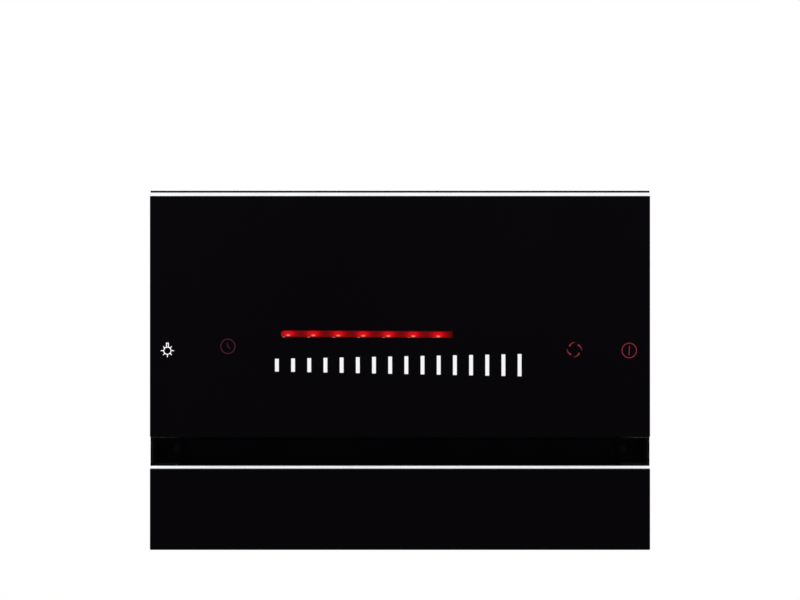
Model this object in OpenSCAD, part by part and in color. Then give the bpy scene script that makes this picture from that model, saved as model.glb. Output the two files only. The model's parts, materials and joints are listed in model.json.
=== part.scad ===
// A wall hood with a leaning black glass front, drawn as it comes apart on a bench.
// X runs left to right, the wall is the plane Y = 0, and the room lies towards -Y.
// The origin is the middle of the four wall fixings.

/* [Glass front] */
// Width of the glass front, side to side
hood_w = 500; // [480:5:600]
// Lean of the front from the vertical, with its top towards the room, in degrees
tilt = 15; // [12:1:18]
// Thickness of both glass panels
glass_t = 4; // [3:0.5:5]
// Height of the dark cap along the top of the door
cap_h = 1.5; // [1:0.25:3]
// Height of the bright strip over the upper glass
strip_h = 3.6; // [2.4:0.2:5]
// Height of the upper glass, down the slope
upper_glass_h = 241; // [235:1:270]
// Height of the suction slot between the glass panels
slot_h = 28.6; // [24:0.2:34]
// Height of the bright strip over the lower glass
lower_strip_h = 3.2; // [2.4:0.2:4]
// Height of the lower glass, down the slope
lower_glass_h = 81; // [72:1:95]
// Radius of the ground corners of the glass
glass_corner_r = 1; // [0.5:0.25:2]

/* [Door] */
// Thickness of the door, glass and pan together
door_t = 14; // [12:0.5:16]
// Wall of the sheet steel pan behind the upper glass
pan_t = 1; // [0.8:0.1:1.4]
// How far the pan stays inside the edges of the glass
pan_inset = 8; // [6:0.5:12]
// Depth of the air channel between door and bulkhead
channel_d = 16; // [15:0.5:20]
// From the end of the door to the middle of a hinge
hinge_inset = 65; // [50:1:90]

/* [Casing] */
// From the wall to the front of the glass at its top edge
depth_top = 300; // [295:1:325]
// Thickness of the casing sheet
sheet_t = 1.2; // [0.8:0.1:1.5]
// How far the casing side stays inside the edge of the glass
side_inset = 14; // [10:1:18]
// How far the front stands above the top cover
front_rise = 8; // [5:0.5:10]
// How far the bottom panel stays above the lower edge of the glass
bottom_recess = 6; // [4:0.5:10]
// Width of the turned flanges that join the casing sheets
flange_w = 12; // [10:0.5:14]

/* [Wall fixings] */
// From the top cover down to the middle of the wall fixings
fixing_drop = 168; // [162:1:176]
// Distance between the left and right wall fixings
fixing_w = 340; // [320:5:360]
// Distance between the upper and lower wall fixings
fixing_h = 200; // [180:5:206]
// Radius of the wall fixing holes
fixing_r = 4; // [3:0.25:5]
// From the side of the casing to the middle of the cable gland
gland_inset = 52; // [40:1:70]

/* [Touch controls] */
// Thickness of the printed symbols on the glass
ink_t = 0.15; // [0.1:0.05:0.3]
// Number of marks on the level slider
mark_n = 16; // [10:1:18]
// Distance from one slider mark to the next
mark_pitch = 16.17; // [10:0.01:17]
// Width of a slider mark
mark_w = 3.8; // [2:0.1:6]
// Height of the first slider mark
mark_first_h = 12.7; // [8:0.1:14]
// Height of the last slider mark
mark_last_h = 22.2; // [16:0.1:26]
// Length of the lit level bar
bar_len = 172; // [120:1:180]
// Height of the lit level bar
bar_h = 7.2; // [5:0.1:9]
// Number of diodes behind the level bar
led_n = 7; // [4:1:9]
// Outer radius of the round symbols
symbol_r = 7.8; // [6:0.1:9]
// Line width of the symbols
line_w = 1.05; // [0.8:0.05:1.4]
// From the top of the front down to the middle of the symbols
symbol_drop = 159.5; // [150:0.5:165]
// From the left edge of the glass to the middle of the lamp symbol
lamp_symbol_inset = 17.4; // [14:0.1:24]
// From the left edge of the glass to the middle of the timer symbol
timer_symbol_inset = 77.6; // [70:0.1:84]
// From the right edge of the glass to the middle of the air symbol
air_symbol_inset = 76.2; // [70:0.1:84]
// From the right edge of the glass to the middle of the power symbol
power_symbol_inset = 20.9; // [14:0.1:24]

/* [Grease filter] */
// Width of the grease filter
filter_w = 380; // [340:5:390]
// Height of the grease filter, down the slope
filter_h = 180; // [170:1:184]
// Thickness of the grease filter
filter_t = 10; // [8:0.5:12]
// Width of the bars of the filter frame
filter_bar = 12; // [10:0.5:16]
// Travel of the filter latch
latch_travel = 8; // [5:0.5:9]

/* [Blower] */
// Outer radius of the fan wheel
wheel_r = 62; // [54:1:64]
// Width of the fan wheel, both sides together
wheel_w = 80; // [60:2:84]
// Number of fan blades
blade_n = 30; // [20:1:36]
// Smallest radius of the scroll
scroll_r0 = 70; // [68:0.5:72]
// Largest radius of the scroll, at its outlet
scroll_r1 = 106; // [100:0.5:108]
// Width of the scroll
scroll_w = 96; // [90:1:100]
// Wall of the moulded scroll
scroll_t = 2; // [1.5:0.1:2.6]
// Radius of the motor
motor_r = 34; // [28:0.5:38]
// Radius of the motor shaft
shaft_r = 4; // [3:0.25:5]
// From the top cover down to the axis of the fan
axis_drop = 162; // [156:1:168]

/* [Outlet] */
// Outer radius of the duct collar
collar_r = 74.5; // [73.5:0.5:77]
// Height of the duct collar above the top cover
collar_h = 36; // [30:0.5:38]
// Wall of the duct collar
collar_t = 2; // [1.6:0.1:2.2]
// Thickness of a damper flap
flap_t = 1.4; // [1:0.1:2]

/* [Lamps] */
// Distance between the two lamps
lamp_gap = 300; // [240:5:320]
// Radius of the lamp lens
lens_r = 24; // [18:0.5:26]
// Distance of the lamps from the wall
lamp_y = 112; // [100:1:118]

/* [Hidden] */
$fn = 64;

// Running clearance between a pin and the hole it turns in
pin_play = 0.05;
// Clearance between parts that move past each other
slide_play = 0.3;
// Small overlap that lets cuts go right through
cut = 1;

// Heights down the slope of the front, from its top edge, as negative numbers
z_strip = -cap_h;
z_glass = z_strip - strip_h;
z_slot = z_glass - upper_glass_h;
z_lower_strip = z_slot - slot_h;
z_lower_glass = z_lower_strip - lower_strip_h;
front_len = -z_lower_glass + lower_glass_h;

// Where the sheets of the casing lie
bulk_y = door_t + channel_d;
casing_w = hood_w - 2 * side_inset;
inner_w = casing_w - 2 * sheet_t;
casing_top = fixing_drop;
front_top_z = casing_top + front_rise;
casing_bot = front_z(0, -front_len) + bottom_recess;
floor_z = casing_bot + sheet_t;
roof_z = casing_top - sheet_t;

// A point of the leaning front as a place on the hood: y is depth behind the glass, z is along the slope
function front_y(y, z) = -depth_top + y * cos(tilt) - z * sin(tilt);
function front_z(y, z) = front_top_z + y * sin(tilt) + z * cos(tilt);
// Slope coordinate of the plane y behind the glass, at a level height
function slope_at(y, level) = (level - front_top_z - y * sin(tilt)) / cos(tilt);
// Distance from the wall of that plane at that height
function plane_y(y, level) = front_y(y, slope_at(y, level));

// Draws its children in the frame of the leaning front
module on_front() {
    translate([0, -depth_top, front_top_z]) rotate([tilt, 0, 0]) children();
}

// A box on the front: x and z are its middle and its top, y its near face
module front_box(x, y, z, size) {
    on_front() translate([x - size[0] / 2, y, z - size[2]]) cube(size);
}

// A flat outline on the front, x across and y up the slope, thick towards the wall
module front_plate(y, thick) {
    on_front() translate([0, y + thick, 0]) rotate([90, 0, 0]) linear_extrude(thick) children();
}

// A section seen from the side, y and z, drawn w wide across the hood
module section(w, x = 0) {
    translate([x, 0, 0]) rotate([90, 0, 90]) linear_extrude(w, center = true) children();
}

// The same in the frame of the leaning front
module front_section(w, x = 0) {
    on_front() translate([x, 0, 0]) rotate([90, 0, 90]) linear_extrude(w, center = true) children();
}

// A cylinder across the hood, centred on x
module cross_cylinder(r, w, x = 0) {
    translate([x, 0, 0]) rotate([0, 90, 0]) cylinder(r = r, h = w, center = true);
}

// A box that is centred across the hood
module wide_box(w, y0, y1, z0, z1, x = 0) {
    translate([x - w / 2, y0, z0]) cube([w, y1 - y0, z1 - z0]);
}

// Screw that holds the sheets together: head towards +Z, shank down through them
screw_r = 1.6;
screw_head_r = 3.4;
screw_head_h = 1.8;
screw_play = 0.1;
module screw(grip) {
    translate([0, 0, -grip]) cylinder(r = screw_r, h = grip);
    difference() {
        cylinder(r = screw_head_r, h = screw_head_h);
        for (turn = [0, 90])
            rotate([0, 0, turn])
                translate([-screw_head_r * 0.6, -0.4, screw_head_h - 0.8]) cube([screw_head_r * 1.2, 0.8, 2]);
    }
}
module screw_hole(grip) {
    translate([0, 0, -grip - cut]) cylinder(r = screw_r + screw_play, h = grip + 2 * cut);
}

// Places of the screws in one side of the casing, as distance from the wall and height
side_screw_inset = flange_w * 0.6;
rear_screw = 45;
top_screw = 60;
low_screw = 45;
side_screws = [
    [-rear_screw, roof_z - side_screw_inset],
    [plane_y(bulk_y, roof_z) + top_screw, roof_z - side_screw_inset],
    [-rear_screw, floor_z + side_screw_inset],
    [plane_y(bulk_y, floor_z) + low_screw, floor_z + side_screw_inset],
    [-sheet_t - side_screw_inset, fixing_h * 0.3],
    [-sheet_t - side_screw_inset, -fixing_h * 0.3]
];
side_grip = 2 * sheet_t + 1.5;
module at_side_screws(side) {
    for (p = side_screws)
        translate([side * casing_w / 2, p[0], p[1]]) rotate([0, side * 90, 0]) children();
}

// Side sheet of the casing, cut to the leaning section
module side_panel(side) {
    color([0.045, 0.045, 0.05]) difference() {
        section(sheet_t, side * (casing_w - sheet_t) / 2)
            polygon([
                [0, casing_bot],
                [0, casing_top],
                [plane_y(bulk_y, casing_top), casing_top],
                [plane_y(bulk_y, casing_bot), casing_bot]
            ]);
        at_side_screws(side) screw_hole(side_grip);
    }
}

// Corner room that keeps the turned flanges of neighbouring sheets apart
flange_gap = 4;
flange_room = flange_w + flange_gap;

// Where the scroll and its outlet sit
scroll_rear = scroll_r0 + (scroll_r1 - scroll_r0) / 3;
scroll_gap = 6;
scroll_y = -(sheet_t + scroll_gap + scroll_rear);
scroll_z = casing_top - axis_drop;
neck_y = scroll_y - scroll_r1 / 2;
collar_y = neck_y;
collar_bore = collar_r - collar_t;

// Flange of the collar, its gasket and its four screws
gasket_t = 1.5;
collar_flange_t = 2.5;
collar_foot = 4;
collar_foot_t = 1.2;
ring_play = 0.1;
ring_gap = 1.8;
collar_ring_w = 17;
collar_screw_out = 9.5;
collar_flange_r = collar_r + collar_ring_w;
collar_screw_r = collar_r + collar_screw_out;
collar_base = casing_top + gasket_t;
scroll_flange_t = 3;
collar_grip = collar_flange_t + gasket_t + sheet_t + scroll_flange_t + 1;
module at_collar_screws() {
    for (turn = [45:90:359])
        translate([0, collar_y, collar_base + collar_flange_t])
            rotate([0, 0, turn]) translate([collar_screw_r, 0, 0]) children();
}

// Inlet of the mains lead, in a notch at the rear edge of the top sheet
gland_x = -casing_w / 2 + gland_inset;
gland_wall = 13;
gland_y = -gland_wall;
gland_r = 8;
gland_bore = 4;

// Top sheet with the outlet opening and the notch for the cable gland
module top_cover() {
    color([0.045, 0.045, 0.05]) difference() {
        union() {
            section(inner_w)
                polygon([
                    [0, roof_z], [0, casing_top],
                    [plane_y(bulk_y, casing_top), casing_top], [plane_y(bulk_y, roof_z), roof_z]
                ]);
            for (side = [-1, 1])
                wide_box(
                    sheet_t, plane_y(bulk_y, roof_z) + flange_room * 1.6, -flange_room,
                    roof_z - flange_w, roof_z, side * (inner_w - sheet_t) / 2
                );
        }
        translate([0, collar_y, roof_z - cut]) cylinder(r = collar_bore, h = sheet_t + 2 * cut);
        wide_box(2 * gland_r, gland_y - gland_r, cut, roof_z - cut, casing_top + cut, gland_x);
        at_collar_screws() screw_hole(collar_grip);
        for (side = [-1, 1]) at_side_screws(side) screw_hole(side_grip);
    }
}

// Stiffening beads pressed into the back sheet, beside the wall fixings
bead_d = 2.4;
bead_w = 14;
bead_gap = 46;
bead_x = fixing_w / 2 - bead_gap;

// Back sheet with the four wall fixings
module back_panel() {
    color([0.045, 0.045, 0.05]) difference() {
        union() {
            wide_box(inner_w, -sheet_t, 0, floor_z, roof_z);
            for (side = [-1, 1]) {
                wide_box(
                    sheet_t, -sheet_t - flange_w, -sheet_t, floor_z + flange_room, roof_z - flange_room,
                    side * (inner_w - sheet_t) / 2
                );
                wide_box(
                    bead_w, -sheet_t - bead_d, -sheet_t, floor_z + 2 * flange_room, roof_z - 2 * flange_room,
                    side * bead_x
                );
            }
        }
        for (side = [-1, 1]) {
            for (level = [-1, 1])
                translate([side * fixing_w / 2, 0, level * fixing_h / 2])
                    rotate([90, 0, 0]) cylinder(r = fixing_r, h = 8 * sheet_t, center = true);
            at_side_screws(side) screw_hole(side_grip);
            wide_box(
                bead_w - 2 * bead_d, -sheet_t - bead_d + sheet_t, cut,
                floor_z + 2 * flange_room + bead_d, roof_z - 2 * flange_room - bead_d, side * bead_x
            );
        }
    }
}

// Lamps in the bottom panel
bezel_t = 1.6;
bezel_r = lens_r + 8;
lamp_r = lens_r + 3;
lamp_h = 24;
lamp_play = 0.2;
module at_lamps() {
    for (side = [-1, 1]) translate([side * lamp_gap / 2, -lamp_y, casing_bot]) children();
}

// The sheet behind the lower glass, which the glass is bonded to
carrier_t = sheet_t;
carrier_y = glass_t + carrier_t;

// Bottom sheet with the two lamp holes, from the wall to the lower glass
module bottom_panel() {
    color([0.045, 0.045, 0.05]) difference() {
        union() {
            section(inner_w)
                polygon([
                    [0, casing_bot], [0, floor_z],
                    [plane_y(carrier_y, floor_z), floor_z], [plane_y(carrier_y, casing_bot), casing_bot]
                ]);
            for (side = [-1, 1])
                wide_box(
                    sheet_t, plane_y(bulk_y, floor_z) + flange_room * 1.2, -flange_room,
                    floor_z, floor_z + flange_w, side * (inner_w - sheet_t) / 2
                );
        }
        at_lamps() translate([0, 0, -cut]) cylinder(r = lamp_r + lamp_play, h = sheet_t + 2 * cut);
        for (side = [-1, 1]) at_side_screws(side) screw_hole(side_grip);
    }
}

// Hinges between the bulkhead and the pan, near the ends of the door
hinge_x = hood_w / 2 - hinge_inset;
pivot_drop = 9;
pivot_y = door_t + channel_d / 2;
pivot_z = z_glass - pivot_drop;
knuckle_r = 4.5;
knuckle_w = 16;
knuckle_gap = 2;
hinge_w = 30;
hinge_pin_r = 2.4;
plate_t = 2;
plate_top = pivot_z - knuckle_r - knuckle_gap;
plate_h = 18;
arm_half = knuckle_r * 0.8;
bracket_grip = plate_t + sheet_t + 1;
leaf_grip = plate_t + pan_t;

// Place of the grease filter in the bulkhead, under the hinges
filter_gap = 4.3;
filter_top = plate_top - plate_h - filter_gap;
filter_proud = 2;
filter_play = 0.8;
filter_y = bulk_y - filter_proud;
seat_y = filter_y + filter_t + 0.2;
seat_w = 7;

// Leaning sheet behind the door, with the pocket that carries the filter
module filter_bulkhead() {
    pocket_w = filter_w + 2 * filter_play;
    pocket_h = filter_h + 2 * filter_play;
    pocket_d = seat_y + sheet_t - bulk_y;
    color([0.03, 0.03, 0.034]) difference() {
        union() {
            section(inner_w)
                polygon([
                    [plane_y(bulk_y, floor_z), floor_z],
                    [plane_y(bulk_y, roof_z), roof_z],
                    [plane_y(bulk_y + sheet_t, roof_z), roof_z],
                    [plane_y(bulk_y + sheet_t, floor_z), floor_z]
                ]);
            front_box(0, bulk_y, filter_top + filter_play + sheet_t,
                [pocket_w + 2 * sheet_t, pocket_d, pocket_h + 2 * sheet_t]);
            for (side = [-1, 1])
                front_box(side * (inner_w - sheet_t) / 2, bulk_y, filter_top,
                    [sheet_t, flange_w, filter_h]);
        }
        front_box(0, bulk_y - cut, filter_top + filter_play, [pocket_w, seat_y - bulk_y + cut, pocket_h]);
        front_box(0, bulk_y - cut, filter_top - seat_w,
            [filter_w - 2 * seat_w, pocket_d + 2 * cut, filter_h - 2 * seat_w]);
        at_hinges() at_hinge_screws(bulk_y - plate_t, 1) screw_hole(bracket_grip);
        at_end_cap_screws() screw_hole(end_cap_grip);
    }
}

// Screws along both sides of the casing, and one in each end cap of the slot
module casing_screws() {
    color([0.12, 0.12, 0.13]) {
        for (side = [-1, 1]) at_side_screws(side) screw(side_grip);
        at_end_cap_screws() screw(end_cap_grip);
    }
}

// A glass panel with ground corners, made of exact faces
module glass_panel(z_top, h) {
    r = glass_corner_r;
    front_plate(0, glass_t) {
        translate([-hood_w / 2 + r, z_top - h]) square([hood_w - 2 * r, h]);
        translate([-hood_w / 2, z_top - h + r]) square([hood_w, h - 2 * r]);
        for (side = [-1, 1])
            for (end = [z_top - r, z_top - h + r])
                translate([side * (hood_w / 2 - r), end]) circle(r = r);
    }
}

// Upper glass, the face of the door
module upper_glass() {
    color([0.012, 0.012, 0.018]) glass_panel(z_glass, upper_glass_h);
}

// Lower glass, fixed under the slot
module lower_glass() {
    color([0.012, 0.012, 0.018]) glass_panel(z_lower_glass, lower_glass_h);
}

// Bright extrusion along the top of the lower glass, with a sloped face that catches the light
shelf_y = 12;
module lower_bright_strip() {
    color([0.86, 0.86, 0.88]) front_section(hood_w)
        polygon([
            [0, z_lower_glass],
            [lower_strip_h * 0.8, z_lower_strip],
            [shelf_y, z_lower_strip],
            [shelf_y, z_lower_glass],
            [carrier_y, z_lower_glass]
        ]);
}

// Folded carrier between the lower glass and the bulkhead
module lower_glass_carrier() {
    color([0.03, 0.03, 0.034]) {
        front_section(casing_w)
            polygon([
                [glass_t, z_lower_glass], [carrier_y, z_lower_glass],
                [carrier_y, slope_at(carrier_y, casing_bot)], [glass_t, slope_at(glass_t, casing_bot)]
            ]);
        front_section(casing_w)
            polygon([
                [carrier_y, z_lower_glass], [bulk_y, z_lower_glass],
                [bulk_y, z_lower_glass - sheet_t], [carrier_y, z_lower_glass - sheet_t]
            ]);
        for (side = [-1, 1])
            section(sheet_t, side * (casing_w - sheet_t) / 2)
                polygon([
                    [front_y(carrier_y, z_lower_glass - sheet_t), front_z(carrier_y, z_lower_glass - sheet_t)],
                    [front_y(bulk_y, z_lower_glass - sheet_t), front_z(bulk_y, z_lower_glass - sheet_t)],
                    [plane_y(bulk_y, casing_bot), casing_bot],
                    [plane_y(carrier_y, casing_bot), casing_bot]
                ]);
    }
}

// End caps that close the suction slot at both sides, on the bright strip and against the bulkhead
end_cap_t = 2.5;
end_cap_lap = 12;
end_cap_gap = 0.6;
end_cap_y = lower_strip_h * 0.8;
end_cap_h = slot_h - end_cap_gap;
end_cap_grip = end_cap_t + sheet_t + 1;
module at_end_cap_screws() {
    for (side = [-1, 1])
        on_front() translate([
            side * (inner_w - end_cap_lap) / 2, bulk_y - end_cap_t, z_lower_strip + end_cap_h / 2
        ]) rotate([90, 0, 0]) children();
}
module slot_end_caps() {
    outer = hood_w / 2;
    lap = inner_w / 2 - end_cap_lap;
    color([0.03, 0.03, 0.03]) difference() {
        for (side = [-1, 1])
            on_front() translate([0, 0, z_lower_strip]) linear_extrude(end_cap_h)
                polygon([
                    [side * outer, end_cap_y], [side * outer, bulk_y], [side * lap, bulk_y],
                    [side * lap, bulk_y - end_cap_t], [side * (outer - end_cap_t), bulk_y - end_cap_t],
                    [side * (outer - end_cap_t), end_cap_y]
                ]);
        at_end_cap_screws() screw_hole(end_cap_grip);
    }
}

// Legs of the bright strip that hold the pan
strip_leg = 6;
pan_top = z_glass - strip_leg;
pan_bot = z_slot + pan_inset;
pan_w = hood_w - 2 * pan_inset;

// Sheet steel pan bonded to the back of the upper glass
module door_pan() {
    color([0.05, 0.05, 0.055]) difference() {
        front_box(0, glass_t, pan_top, [pan_w, door_t - glass_t, pan_top - pan_bot]);
        front_box(0, glass_t - cut, pan_top - pan_t,
            [pan_w - 2 * pan_t, door_t - glass_t - pan_t + cut, pan_top - pan_bot - 2 * pan_t]);
        at_hinges() at_hinge_screws(door_t + plate_t, -1) screw_hole(leaf_grip);
    }
}

// Dark cap that closes the top of the door
module door_top_cap() {
    color([0.06, 0.06, 0.065]) front_box(0, strip_h * 0.8, 0, [hood_w, door_t - strip_h * 0.8, cap_h]);
}

// Bright extrusion along the top of the upper glass
module door_bright_strip() {
    leg_t = 1.5;
    color([0.86, 0.86, 0.88]) front_section(hood_w)
        polygon([
            [0, z_glass],
            [strip_h * 0.8, z_strip],
            [door_t, z_strip],
            [door_t, pan_top],
            [door_t - leg_t, pan_top],
            [door_t - leg_t, z_glass]
        ]);
}

// Both hinges, and their common axis
module at_hinges() {
    for (side = [-1, 1]) translate([side * hinge_x, 0, 0]) children();
}
module at_pivot(w, r) {
    on_front() translate([0, pivot_y, pivot_z]) cross_cylinder(r, w);
}

// Arm of a hinge with its knuckle, seen from the side: its foot runs along the plate at y
module hinge_arm(w, y, x, hole_r) {
    front_section(w, x) difference() {
        union() {
            polygon([
                [y, plate_top - 6],
                [y, plate_top + 1],
                [pivot_y, pivot_z + arm_half],
                [pivot_y, pivot_z - arm_half],
                [y + (pivot_y > y ? plate_t : -plate_t) / 2, plate_top - 6]
            ]);
            translate([pivot_y, pivot_z]) circle(r = knuckle_r);
        }
        translate([pivot_y, pivot_z]) circle(r = hole_r);
    }
}
module at_hinge_screws(y, towards) {
    for (across = [-1, 1])
        on_front() translate([across * hinge_w * 0.3, y, plate_top - plate_h * 0.68])
            rotate([towards * 90, 0, 0]) children();
}

// Fixed half of the hinges, on the bulkhead
module hinge_brackets() {
    color([0.55, 0.55, 0.57]) at_hinges() difference() {
        union() {
            front_box(0, bulk_y - plate_t, plate_top, [hinge_w, plate_t, plate_h]);
            hinge_arm(knuckle_w, bulk_y, 0, hinge_pin_r);
        }
        at_hinge_screws(bulk_y - plate_t, 1) screw_hole(bracket_grip);
    }
}

// Moving half of the hinges, on the pan of the door
module door_hinge_leaves() {
    ear_w = (hinge_w - knuckle_w) / 2 - slide_play;
    color([0.55, 0.55, 0.57]) at_hinges() difference() {
        union() {
            front_box(0, door_t, plate_top, [hinge_w, plate_t, plate_h]);
            for (across = [-1, 1])
                hinge_arm(ear_w, door_t, across * (hinge_w - ear_w) / 2, hinge_pin_r + pin_play);
        }
        at_hinge_screws(door_t + plate_t, -1) screw_hole(leaf_grip);
    }
}

// Pins of the hinges, with a head at each end
module hinge_pins() {
    head = 1.2;
    color([0.7, 0.7, 0.72]) at_hinges() {
        at_pivot(hinge_w + 1, hinge_pin_r);
        for (across = [-1, 1])
            translate([across * (hinge_w + 1 + head) / 2, 0, 0]) at_pivot(head, hinge_pin_r + 1.2);
    }
}

// Screws of the fixed hinge plates
module hinge_bracket_screws() {
    color([0.6, 0.6, 0.62]) at_hinges() at_hinge_screws(bulk_y - plate_t, 1) screw(bracket_grip);
}

// Screws of the moving hinge plates
module hinge_leaf_screws() {
    color([0.6, 0.6, 0.62]) at_hinges() at_hinge_screws(door_t + plate_t, -1) screw(leaf_grip);
}

// Magnetic catches beside the filter, near the lower edge of the door
catch_x = (filter_w + casing_w) / 4;
catch_edge = 7.2;
catch_w = 18;
catch_h = 26;
catch_z = pan_bot + catch_edge + catch_h;
striker_t = 1.5;
striker_w = 16;
striker_h = 28;
catch_size = [catch_w, channel_d - striker_t - slide_play, catch_h];
module catch_magnets() {
    color([0.09, 0.09, 0.1]) for (side = [-1, 1])
        front_box(side * catch_x, bulk_y - catch_size[1], catch_z, catch_size);
}

// Steel plates on the door that the magnets hold
module door_strikers() {
    color([0.6, 0.6, 0.62]) for (side = [-1, 1])
        front_box(side * catch_x, door_t, catch_z + (striker_h - catch_h) / 2, [striker_w, striker_t, striker_h]);
}

// Rubber buffers that the closed door rests against
buffer_r = 5;
buffer_foot = 1.5;
buffer_foot_h = 4;
module door_buffers() {
    color([0.03, 0.03, 0.03]) for (side = [-1, 1])
        on_front() translate([side * catch_x, bulk_y, catch_z + 3 * buffer_r])
            rotate([90, 0, 0]) {
                cylinder(r = buffer_r + buffer_foot, h = buffer_foot_h);
                cylinder(r = buffer_r, h = channel_d - slide_play);
            }
}

// Places of the touch symbols, across the glass and down from the top of the front
timer_rise = 4.1;
air_rise = 0.8;
mark_drop = 14.7;
bar_rise = 16.3;
mark_shift = 1.75;
bar_shift = 4;
led_inset = 7.3;
led_tail = 14.7;
symbol_z = -symbol_drop;
timer_z = symbol_z + timer_rise;
mark_z = symbol_z - mark_drop;
bar_z = symbol_z + bar_rise;
air_z = symbol_z + air_rise;
lamp_symbol_x = -hood_w / 2 + lamp_symbol_inset;
timer_symbol_x = -hood_w / 2 + timer_symbol_inset;
air_symbol_x = hood_w / 2 - air_symbol_inset;
power_symbol_x = hood_w / 2 - power_symbol_inset;
mark_x0 = -(mark_n - 1) * mark_pitch / 2 - mark_shift;
bar_x0 = mark_x0 + bar_shift;
led_x0 = bar_x0 + led_inset;
led_pitch = (bar_len - led_inset - led_tail) / (led_n - 1);

// A printed shape on the glass
module print(x, z) {
    on_front() translate([x, 0, z]) rotate([90, 0, 0]) linear_extrude(ink_t) children();
}
module ring(r, w) {
    difference() {
        circle(r = r);
        circle(r = r - w);
    }
}
module stroke(from, to, w) {
    turn = atan2(to[1] - from[1], to[0] - from[0]);
    translate(from) rotate(turn) translate([0, -w / 2]) square([norm(to - from), w]);
}

// Sixteen marks that grow from left to right
module slider_marks() {
    color([0.93, 0.93, 0.95]) for (i = [0:mark_n - 1]) {
        h = mark_first_h + (mark_last_h - mark_first_h) * i / (mark_n - 1);
        print(mark_x0 + i * mark_pitch, mark_z) square([mark_w, h], center = true);
    }
}

// Lit bar over the slider, shorter than the slider because the level is below its maximum
module level_light_bar() {
    color([0.75, 0.03, 0.03]) print(bar_x0, bar_z) {
        translate([bar_h / 2, 0]) circle(r = bar_h / 2);
        translate([bar_h / 2, -bar_h / 2]) square([bar_len - bar_h / 2, bar_h]);
    }
}

// Lamp with seven rays and a stem
module lamp_symbol() {
    bulb_r = symbol_r * 0.55;
    color([0.93, 0.93, 0.95]) print(lamp_symbol_x, symbol_z) {
        ring(bulb_r, line_w);
        for (turn = [0, 45, 135, 180, 225, 270, 315])
            rotate(turn) translate([bulb_r - 0.2, -line_w / 2]) square([symbol_r * 0.36, line_w]);
        difference() {
            translate([-1.6, bulb_r - 0.5]) square([3.2, symbol_r * 0.6]);
            translate([-0.55, bulb_r + 0.3]) square([1.1, symbol_r * 0.38]);
        }
    }
}

// Clock face with two hands
module timer_symbol() {
    color([0.45, 0.05, 0.08]) print(timer_symbol_x, timer_z) {
        ring(symbol_r, line_w);
        stroke([0.3, 0.6], [-0.5, symbol_r * 0.5], line_w);
        stroke([-0.2, 0.2], [symbol_r * 0.4, -symbol_r * 0.35], line_w);
    }
}

// Four turning strokes that swell at one end
module air_symbol() {
    steps = 8;
    sweep = 62;
    function swirl(s, side) =
        let (r = symbol_r * (0.8 + 0.24 * s) + side * (0.95 - 0.75 * s))
        [r * cos(146 - sweep * s), r * sin(146 - sweep * s)];
    color([0.7, 0.06, 0.1]) print(air_symbol_x, air_z)
        for (turn = [0:90:359])
            rotate(turn) polygon(concat(
                [for (i = [0:steps]) swirl(i / steps, 1)],
                [for (i = [steps:-1:0]) swirl(i / steps, -1)]
            ));
}

// Ring with an upright stroke
module power_symbol() {
    color([0.7, 0.06, 0.1]) print(power_symbol_x, symbol_z) {
        ring(symbol_r, line_w);
        stroke([-0.3, -symbol_r * 0.6], [0.2, symbol_r * 0.56], line_w);
    }
}

// Clear bar behind the glass that spreads the light of the diodes
guide_t = 1;
guide_over = 3;
led_h = 1.5;
led_w = 3;
led_l = 2.8;
module level_light_guide() {
    color([0.85, 0.85, 0.87]) front_box(
        bar_x0 + bar_len / 2, glass_t, bar_z + bar_h * 0.65, [bar_len + 2 * guide_over, guide_t, bar_h * 1.3]
    );
}

// Diodes on the touch board, behind the bar
module level_diodes() {
    color([0.9, 0.25, 0.2]) for (i = [0:led_n - 1])
        front_box(led_x0 + i * led_pitch, glass_t + guide_t, bar_z + led_l / 2, [led_w, led_h, led_l]);
}

// Circuit board under the symbols, with its chips and plug and the posts that hold it to the pan
board_y = glass_t + guide_t + led_h;
board_t = 1.6;
board_rise = 12;
board_gap = 2;
board_top = bar_z + board_rise;
board_h = 56;
board_w = pan_w - 2 * pan_t - 2 * board_gap;
chip_x = 60;
chip_w = 14;
driver_x = 70;
driver_w = 10;
driver_h = 8;
plug_x = 150;
plug_w = 26;
plug_h = 8;
chips_drop = 18;
post_r = 3;
module touch_board() {
    back = board_y + board_t;
    room = door_t - pan_t - back;
    color([0.05, 0.22, 0.1]) {
        front_box(0, board_y, board_top, [board_w, board_t, board_h]);
        front_box(-chip_x, back, board_top - chips_drop, [chip_w, room * 0.4, chip_w]);
        front_box(driver_x, back, board_top - chips_drop, [driver_w, room * 0.35, driver_h]);
        front_box(plug_x, back, board_top - chips_drop, [plug_w, room * 0.7, plug_h]);
        for (side = [-1, 1])
            on_front() translate([side * board_w * 0.46, back, board_top - board_h / 2])
                rotate([-90, 0, 0]) cylinder(r = post_r, h = room);
    }
}

// Frame of the grease filter
module filter_frame() {
    color([0.75, 0.76, 0.78]) difference() {
        front_box(0, filter_y, filter_top, [filter_w, filter_t, filter_h]);
        front_box(0, filter_y - cut, filter_top - filter_bar,
            [filter_w - 2 * filter_bar, filter_t + 2 * cut, filter_h - 2 * filter_bar]);
    }
}

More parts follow.
